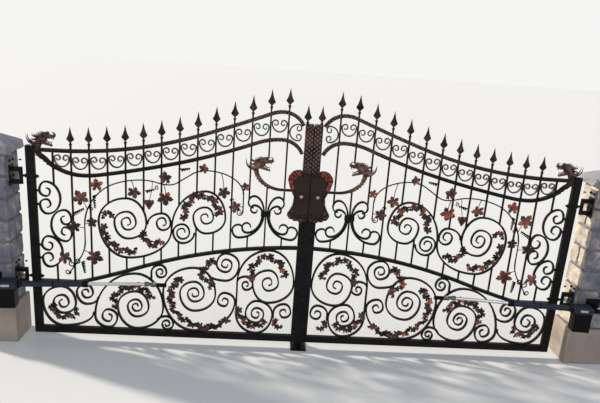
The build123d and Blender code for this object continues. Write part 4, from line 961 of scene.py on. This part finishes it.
def rough_block(pile, low, high, seed, step=9.0):
    """A block whose faces bulge and chip like split stone, and fall away to its edges."""
    low, high = np.array(low, float), np.array(high, float)
    size = high - low
    centre = (low + high) / 2

    def inward(at):
        """How far a point of the surface lies inside the block. at runs from -1 to 1 on each axis."""
        spot = Vector((centre + at * size / 2) * MM) + Vector((seed * 3.1, seed * 1.7, 0))
        chip = noise.fractal(spot * 13, 0.8, 2.2, 4) + 0.7 * noise.noise(spot * 6)
        way = np.zeros(3)
        for a in range(3):
            if abs(at[a]) > 0.999:
                near = [(1 - abs(at[b])) * size[b] / 2 for b in range(3) if b != a]
                drop = sum(edge_depth * max(0.0, 1 - gap / edge_width) ** 2 for gap in near)
                depth = least_depth + chip_depth * max(0.0, 0.5 + 0.9 * chip) + drop
                way[a] = -np.sign(at[a]) * min(most_depth, depth)
        return way

    for axis, side in product(range(3), (-1, 1)):
        first, second = [a for a in range(3) if a != axis]
        rows = max(2, int(size[first] / step))
        columns = max(2, int(size[second] / step))
        points = []
        for row, column in product(range(rows + 1), range(columns + 1)):
            at = np.zeros(3)
            at[axis] = side
            at[first] = 2 * row / rows - 1
            at[second] = 2 * column / columns - 1
            points.append(centre + at * size / 2 + inward(at))
        faces = []
        for row, column in product(range(rows), range(columns)):
            corner = row * (columns + 1) + column
            face = (corner, corner + columns + 1, corner + columns + 2, corner + 1)
            faces.append(face if (side > 0) == (axis != 1) else face[::-1])
        pile.add(points, faces)


pier_x = (-2515.0, -2115.0)
pier_y = (-80.0, 160.0)
middle_x, middle_y = sum(pier_x) / 2, sum(pier_y) / 2
foot_top = 300.0
pier_top = 1430.0
courses = 7
course = (pier_top - foot_top) / courses
joint = 5.0
core_inset = 17
foot_overhang = 12
cap_overhang = 30
hinge_heights = (505.0 + GROUND, 1265.0 + GROUND)
bracket_x, bracket_z = -2245.0, 500.0


def split(span_of, at):
    """The two stretches beside a joint."""
    return ((span_of[0], at - joint / 2), (at + joint / 2, span_of[1]))


core = Pile()
block(core, (pier_x[0] + core_inset, pier_y[0] + core_inset, foot_top - joint),
      (pier_x[1] - core_inset, pier_y[1] - core_inset, pier_top))
blocks = Pile()
for index in range(courses):
    z0 = foot_top + course * index + joint / 2
    z1 = foot_top + course * (index + 1) - joint / 2
    cells = [(pier_x, pier_y)]
    if index % 2 == 1:
        cells = [(xs, ys) for xs in split(pier_x, middle_x + 20) for ys in split(pier_y, middle_y)]
    for number, ((x0, x1), (y0, y1)) in enumerate(cells):
        rough_block(blocks, (x0, y0, z0), (x1, y1, z1), index * 4 + number)
pair(blocks, "pier_blocks", stone, "root", "pier", smooth=False)
pair(core, "pier_mortar", mortar, "root")
foot = Pile()
block(foot, (pier_x[0] - foot_overhang, pier_y[0] - foot_overhang, 0),
      (pier_x[1] + foot_overhang, pier_y[1] + foot_overhang, foot_top))
pair(foot, "pier_foot", foot_stone, "root", modify=rounded(12, 3))


def ring_of(inset, height, rough, around=176):
    """A rounded rectangle inset from the cap's edge, roughened."""
    half_x, half_y = ((high - low) / 2 + cap_overhang - inset for low, high in (pier_x, pier_y))
    points = []
    for step in range(around):
        turn = 2 * pi * step / around
        reach_x, reach_y = cos(turn), sin(turn)
        power = (abs(reach_x) ** 40 + abs(reach_y) ** 40) ** (-1 / 40)
        x, y = half_x * reach_x * power, half_y * reach_y * power
        chip = noise.fractal(Vector((x, y, height)) * 0.014, 0.8, 2.2, 4)
        shrunk = 1 - rough * max(0.0, min(1.0, 0.5 + chip)) / half_y
        points.append((middle_x + x * shrunk, middle_y + y * shrunk, height))
    return points


# Each ring of the cap: its inset, its height over the pier's top, how rough it is
rings = [ring_of(inset, pier_top + level, rough) for inset, level, rough in (
    (80, 0.2, 0), (8, 0.2, 4), *[(0.5, level, 8) for level in range(6, 51, 11)],
    (4, 59, 4), (30, 73, 2), (70, 93, 2), (106, 112, 1), (116, 115, 1),
)]
around = len(rings[0])
faces = bands(len(rings) - 1, around)
faces.append(tuple(reversed(range(around))))
faces.append(tuple(range((len(rings) - 1) * around, len(rings) * around)))
cap = Pile()
cap.add([point for ring in rings for point in ring], faces)
pair(cap, "pier_cap_shaped", cap_stone, "root", "pier_cap", smooth=False)
pads = Pile()
for height in hinge_heights:
    block(pads, (pier_x[1] - 20, -44, height - 84), (pier_x[1] - 0.5, 44, height + 84))
block(pads, (bracket_x - 65, pier_y[0] + 0.5, bracket_z - 70),
      (bracket_x + 65, pier_y[0] + 20, bracket_z + 70))
pair(pads, "bedding_pads", mortar, "root")


# Fasteners on the hinge plates, brackets and ground stop

hinge_x = -2045.0
plate_x = -2107
bolts = Pile()
for height, y, z in product(hinge_heights, (-24, 24), (-58, 58)):
    hexagon(bolts, (plate_x, y, height + z), (1, 0, 0), 8, 7)
for x, z in product((bracket_x - 42, bracket_x + 42), (bracket_z - 40, bracket_z + 40)):
    hexagon(bolts, (x, -88, z), (0, -1, 0), 7, 6)
pair(bolts, "anchor_bolts", operator_black, "root")
caps = Pile()
for height in hinge_heights:
    lathe(caps, (hinge_x, 0, height + 60), [(9.5, 0), (9.5, 4), (7, 8), (3, 9)], 16)
    lathe(caps, (hinge_x, 0, height - 69), [(3, 0), (7, 1), (9.5, 5), (9.5, 9)], 16)
pair(caps, "hinge_pin_caps", iron, "root")
stop, pad = Pile(), Pile()
for x, y in product((-46, 46), (-50, 8)):
    hexagon(stop, (x, y, 8), (0, 0, 1), 7, 5)
block(pad, (-26, 22, 14), (26, 29, 60))
for pile, name, mat in ((stop, "stop_bolts", operator_black), (pad, "stop_pad", rubber)):
    made = pile.build(name, mat)
    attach(made, "root")


# Operators, built along +X from the rear pivot and turned into place

pivot = np.array((bracket_x, -165.0, bracket_z))
front_pivot = (1135.0, 115.0)
lean = atan2(front_pivot[1], front_pivot[0])
reach = hypot(*front_pivot)


def laid(pile):
    """The pile turned from the operator's own axis to where the left operator stands."""
    turn = np.array(Matrix.Rotation(lean, 3, "Z"))
    pile.points = [points @ turn.T + pivot for points in pile.points]
    return pile


def collar(pile, start, end, outer, inner, sides=28):
    """A ring about the X axis, open for what slides in it."""
    profile = ((start, inner), (start, outer - 1), (start + 1, outer), (end - 1, outer), (end, outer - 1),
               (end, inner))
    turn = np.arange(sides) * 2 * pi / sides
    points = [(at, r * cos(t), r * sin(t)) for at, r in profile for t in turn]
    faces = [tuple(index % len(points) for index in face) for face in bands(len(profile), sides)]
    pile.add(points, faces)


# The motor housing's parts: boxes from corner to corner, paint, replaced piece, rounding and its segments
motor_boxes = [((52, -44, -172), (178, 44, -31)), ((49, -46.5, -31.5), (191, 46.5, -27.5))]
rib_boxes = [((60, y, z), (170, y + 3.5, z + 6)) for z in range(-160, -50, 18) for y in (-46.5, 43)]
for name, boxes, mat, replaced, rounding in (
    ("cover", [((46, -49, -28), (194, 49, 29))], operator_blue, "operator_housing", (13, 4)),
    ("motor", motor_boxes, operator_black, None, (9, 3)),
    ("ribs", rib_boxes, operator_black, None, (1.5, 2)),
    ("label", [((92, -50.0, -4), (148, -48.6, 12))], label, None, (0.6, 2)),
):
    pile = Pile()
    for low, high in boxes:
        block(pile, low, high)
    pair(laid(pile), f"operator_{name}", mat, "ram", replaced, modify=rounded(*rounding))
ends = Pile()
tube(ends, [(188, 0, 0), (200, 0, 0), (206, 0, 0)], [33, 33, 27], 28, 1.0, (0, 0, 1))
for at in (212, 430, 634):
    collar(ends, at, at + 10, 24.2, 21.0)
collar(ends, 645, 675, 25.5, 14.5)
block(ends, (2, -15, -5.8), (50, 15, 5.8))
tube(ends, [(0, 0, -5.9), (0, 0, 5.9)], [21, 21], 24)
for y, at in product((-34, 34), (62, 178)):
    hexagon(ends, (at, y, 28.5), (0, 0, 1), 4.2, 3)
pair(laid(ends), "operator_fittings", operator_black, "ram", modify=rounded(1.0))
pin = Pile()
lathe(pin, (reach, 0, -16), [(5.6, 0), (5.6, 21)], 16)
hexagon(pin, (reach, 0, 6.2), (0, 0, 1), 9, 7)
pair(laid(pin), "operator_pin", bright, "rod")
pin = Pile()
hexagon(pin, (0, 0, 18.5), (0, 0, 1), 9, 6)
pair(laid(pin), "bracket_pin_head", bright, "root")


# CAD pieces that are kept: material and rounded edges

looks = {
    "hinge_stile": (notched_iron, 3), "meeting_stile": (frame_iron, 3), "bottom_rail": (notched_iron, 3),
    "mid_rail": (iron, 3), "upper_crest_rail": (rope_iron, 3), "lower_crest_rail": (rope_iron, 3),
    "pickets": (iron, 1.5), "crest_scrolls": (scroll_iron, 1.8), "lower_scrolls": (iron, 2.5),
    "upper_scrolls": (iron, 2.5), "lyre_scrolls": (iron, 2.5), "lock_shield": (shield_iron, 1.2),
    "hinge_eyes": (iron, 1), "hinge_pins": (iron, 1.5), "operator_lug": (operator_black, 1.2),
    "operator_bracket": (operator_black, 1.2), "operator_tube": (operator_blue, 1),
    "operator_rod": (bright, 0.8), "operator_eye": (eye_steel, 1.2), "ground_stop": (operator_black, 1.5),
}
for name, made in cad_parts.items():
    key = name.removeprefix("left_").removeprefix("right_")
    if key in looks:
        mat, width = looks[key]
        made.data.materials.clear()
        made.data.materials.append(mat)
        bevel(made, width)


# Floor, light and camera

half = 40
floor_mesh = bpy.data.meshes.new("floor")
floor_mesh.from_pydata([(-half, -half, 0), (half, -half, 0), (half, half, 0), (-half, half, 0)],
                       [], [(0, 1, 2, 3)])
floor_mesh.materials.append(material("floor", (0.76, 0.76, 0.755), 0.95))
floor = placed("floor", floor_mesh)

world = bpy.data.worlds.new("sky")
bpy.context.scene.world = world
world.use_nodes = True
world.node_tree.nodes.clear()
soft = node(world, "ShaderNodeBackground", Color=(0.86, 0.92, 1.0, 1), Strength=0.56)
plain = node(world, "ShaderNodeBackground", Color=(0.92, 0.915, 0.89, 1), Strength=1.0)
ray = node(world, "ShaderNodeLightPath").outputs
mirrored = maths(world, "MAXIMUM", ray["Is Glossy Ray"], ray["Is Transmission Ray"])
mix = node(world, "ShaderNodeMixShader")
link(world, maths(world, "MAXIMUM", ray["Is Camera Ray"], mirrored), mix.inputs[0])
link(world, soft.outputs[0], mix.inputs[1])
link(world, plain.outputs[0], mix.inputs[2])
link(world, mix.outputs[0], node(world, "ShaderNodeOutputWorld").inputs[0])


def sun(name, aim, strength, angle, color):
    lamp = bpy.data.lights.new(name, "SUN")
    lamp.energy = strength
    lamp.angle = radians(angle)
    lamp.color = color
    placed(name, lamp).rotation_euler = Vector(aim).to_track_quat("-Z", "Y").to_euler()


sun("back_sun", (0.86, -0.36, -0.42), 4.4, 4, (1.0, 0.92, 0.78))
sun("front_fill", (-0.3, 0.8, -0.55), 0.4, 40, (0.92, 0.95, 1.0))

# The camera, solved from the photo's level and upright lines: its turn about an axis, focal length and place
photo_width = 600
focal_pixels = 580
turn_vector = Vector((0.27616, -0.05338, 0.06308))
solved = Matrix.Rotation(turn_vector.length, 3, turn_vector.normalized())
to_camera = solved @ Matrix(((1, 0, 0), (0, 0, -1), (0, 1, 0)))
right, down, ahead = to_camera
lens = bpy.data.cameras.new("camera")
lens.sensor_width = 36
lens.lens = focal_pixels / photo_width * lens.sensor_width
camera = placed("camera", lens)
pose = Matrix((right, -down, -ahead)).transposed().to_4x4()
pose.translation = Vector((-0.3243, -4.0685, 2.2818 + GROUND * MM))
camera.matrix_world = pose
bpy.context.scene.camera = camera
bpy.context.scene.view_settings.view_transform = "Standard"
